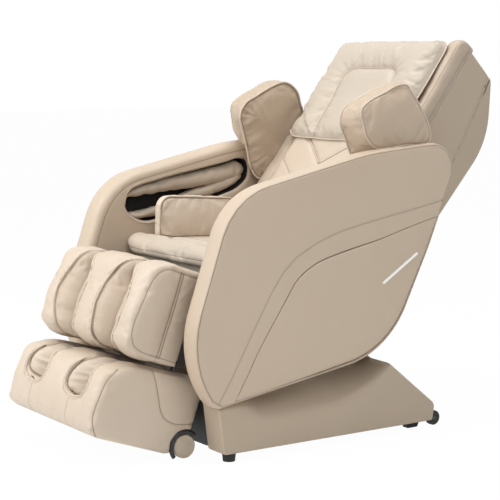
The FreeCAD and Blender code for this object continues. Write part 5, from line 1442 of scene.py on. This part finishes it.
def liner_rows():
    """Loops across a boot's lining, two soft lobes with a crease between them: the front
    line of the block from under the notch to its top, let in by 2 + 50 (1 - |2u - 1|) less
    a swelling of 10 sin(pi |2u - 1|), 10 mm wider than the notch, and closed 44 mm behind."""
    rows = []
    high = np.linspace(-434, -286, 60)
    half = 10 + read_off(high + 24, NOTCH_HALF)
    for u in np.linspace(0, 1, 48):
        w = abs(2 * u - 1)
        deep = 2 + 50 * (1 - w) - 10 * math.sin(math.pi * w)
        low = 1 - 0.5 * smooth_step((-395 - high) / 35)
        front = foot_front(high) + deep * low + 3
        back_line = np.minimum(front + 44, -20 + 0 * high)
        loop_b = np.concatenate([front, back_line[::-1]])
        loop_a = np.concatenate([high, high[::-1] - 6])
        wide = np.concatenate([half, half[::-1]])
        rows.append(leg_to_chair(123 + wide * (2 * u - 1), loop_b, loop_a))
    return np.array(rows)


liner = skin("boot_liner_left", liner_rows())
stuffed(liner, 4, 0.005, 0.04, 2.0)
leg = leg_flat(liner)
gathered(liner, [(123, -440), (123, -280)], leg[:, [0, 2]], leg[:, 1] < 0, 4.5, 30, 26, 72)
leg = leg_flat(liner)
sewn(liner, [(123, -440), (123, -280)], leg[:, [0, 2]], leg[:, 1] < -20, 1, 4, 6)
# Dark lines along the notch's sides: sewn joints, drawn 2.4 mm wide as painted shade at the boot
# opening's edges.
sewn(liner, notch_side[::-1] * 0.97 + [123, 0], leg[:, [0, 2]], leg[:, 1] < -20, 2, 2, 6)
sewn(liner, notch_side * [-0.97, 1] + [123, 0], leg[:, [0, 2]], leg[:, 1] < -20, 3, 2, 6)
liner.data.materials.append(leather("liner_leather", (0.56, 0.47, 0.37), (0.53, 0.44, 0.345),
                                    [(1, 0.8), (2, 2.4), (3, 2.4)]))
rim = notch_side[notch_side[:, 1] < -272]
rim = evenly(np.vstack([rim[::-1], rim * [-1, 1]]), 140, False)
trims = [bead("notch_bead_left",
              laid_on(leg_to_chair(123 + rim[:, 0] * 1.03, foot_front(rim[:, 1]), rim[:, 1]),
                                         foot, 1.6), 2.4, False)]
outer_rim = rim + [0, 360]
outer_rim = outer_rim * (1 + 9 / np.hypot(*outer_rim.T))[:, None] - [0, 360]
outer_rim = evenly(outer_rim[outer_rim[:, 1] < -318], 90, False)
trims.append(bead("notch_trim_left",
                  laid_on(leg_to_chair(123 + outer_rim[:, 0], foot_front(outer_rim[:, 1]),
                                                          outer_rim[:, 1]), foot, 0.5), 1.7,
                                                          False))
for trim in trims:
    trim.data.materials.append(bead_leather)
for side, made in SIDES:
    fitted(made(liner, f"boot_liner_{side}"), "footrest", "foot_liners")
    for trim in trims:
        fitted(made(trim, trim.name.replace("left", side)), "footrest")

# ---- Arm channels -------------------------------------------------------------------
# The channel in each side panel's inner face is lined in black cloth and piped round its
# mouth. A soft air roll in leather hangs from its upper lip and another lies along its
# lower one, to grip the arm.
def roll_rows(line, high, deep):
    """Loops along an air roll: an ellipse high by deep across each place of its line, in
    the plane square to the chair's length, drawn to a point at both ends."""
    rows = []
    y, z = line.T
    turn = np.linspace(0, 2 * math.pi, 40, endpoint=False)
    for k in range(len(line)):
        rows.append(on_chair(341 + deep[k] * np.cos(turn), y[k] + 0 * turn,
                             z[k] + high[k] * np.sin(turn)))
    return np.array(rows)


lip_line = evenly(through(CHANNEL_LIP)[1:], 200)
lip_line = lip_line - inward(lip_line) * 7
lip_line = np.roll(lip_line, -np.argmax(lip_line[:, 0]), 0)
lip_line = lip_line[lip_line[:, 0] < 386]
run_out = 1.9 * smooth_step((lip_line[:, 0] - 330) / 50)  # sinks into the panel beside the wing
trim = bead("channel_bead_left", on_chair(INNER_X + 0.6 + run_out, *lip_line.T), 1.7, False)
trim.data.materials.append(panel.data.materials[0])
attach(trim, "seat")
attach(mirrored(trim, "channel_bead_right"), "seat")
UPPER_LIP = [(53, 664), (60, 680), (72, 694), (96, 706), (150, 719), (199, 729), (304, 748),
             (412, 768), (466, 779), (494, 772)]
UPPER_SKIRT = [(53, 655), (60, 662), (80, 668), (120, 674), (199, 680), (304, 690), (412, 704),
               (486, 718)]
along = np.linspace(0, 1, 90)
y = 55 + 438 * along
top_edge, low_edge = (read_off(y, line) for line in (UPPER_LIP, UPPER_SKIRT))
tip = np.sqrt(np.clip(1 - (1 - along) ** 26, 0.003,
                      1)) * (1 - 0.5 * smooth_step((along - 0.94) / 0.06))
upper = skin("arm_roll_upper_left", roll_rows(np.stack([y, (top_edge + low_edge) / 2], -1),
                                              (top_edge - low_edge) / 2 * tip, 24 * tip))
LOWER_LIP = [(56, 622), (72, 608), (98, 603), (124, 603), (156, 607), (220, 622), (300, 646),
             (400, 672), (480, 700)]
y = 58 + 430 * along
lip = read_off(y, LOWER_LIP)
thick = np.interp(y, [58, 90, 200, 300, 480], [9, 13, 15, 19, 22])
lower = skin("arm_roll_lower_left",
             roll_rows(np.stack([y, lip + thick + 1], -1), thick * tip, 24 * tip))
for roll, seed in ((upper, 81), (lower, 82)):
    stuffed(roll, 6, 0.006, 0.06, 3.0)
    spot = chair_flat(roll)
    gathered(roll, UPPER_LIP if roll is upper else LOWER_LIP, spot[:, 1:], spot[:, 0] < 345, 5.0,
             40, 40, seed)
    pushed(roll, drawn_in(chair_flat(roll), seed, 36, 1.4))
roll_leather = leather("roll_leather", (0.55, 0.46, 0.365), (0.52, 0.43, 0.34))
for roll in (upper, lower):
    roll.data.materials.append(roll_leather)
for side, made in SIDES:
    for roll in (upper, lower):
        fitted(made(roll, roll.name.replace("left", side)), "seat", "arm_airbags")
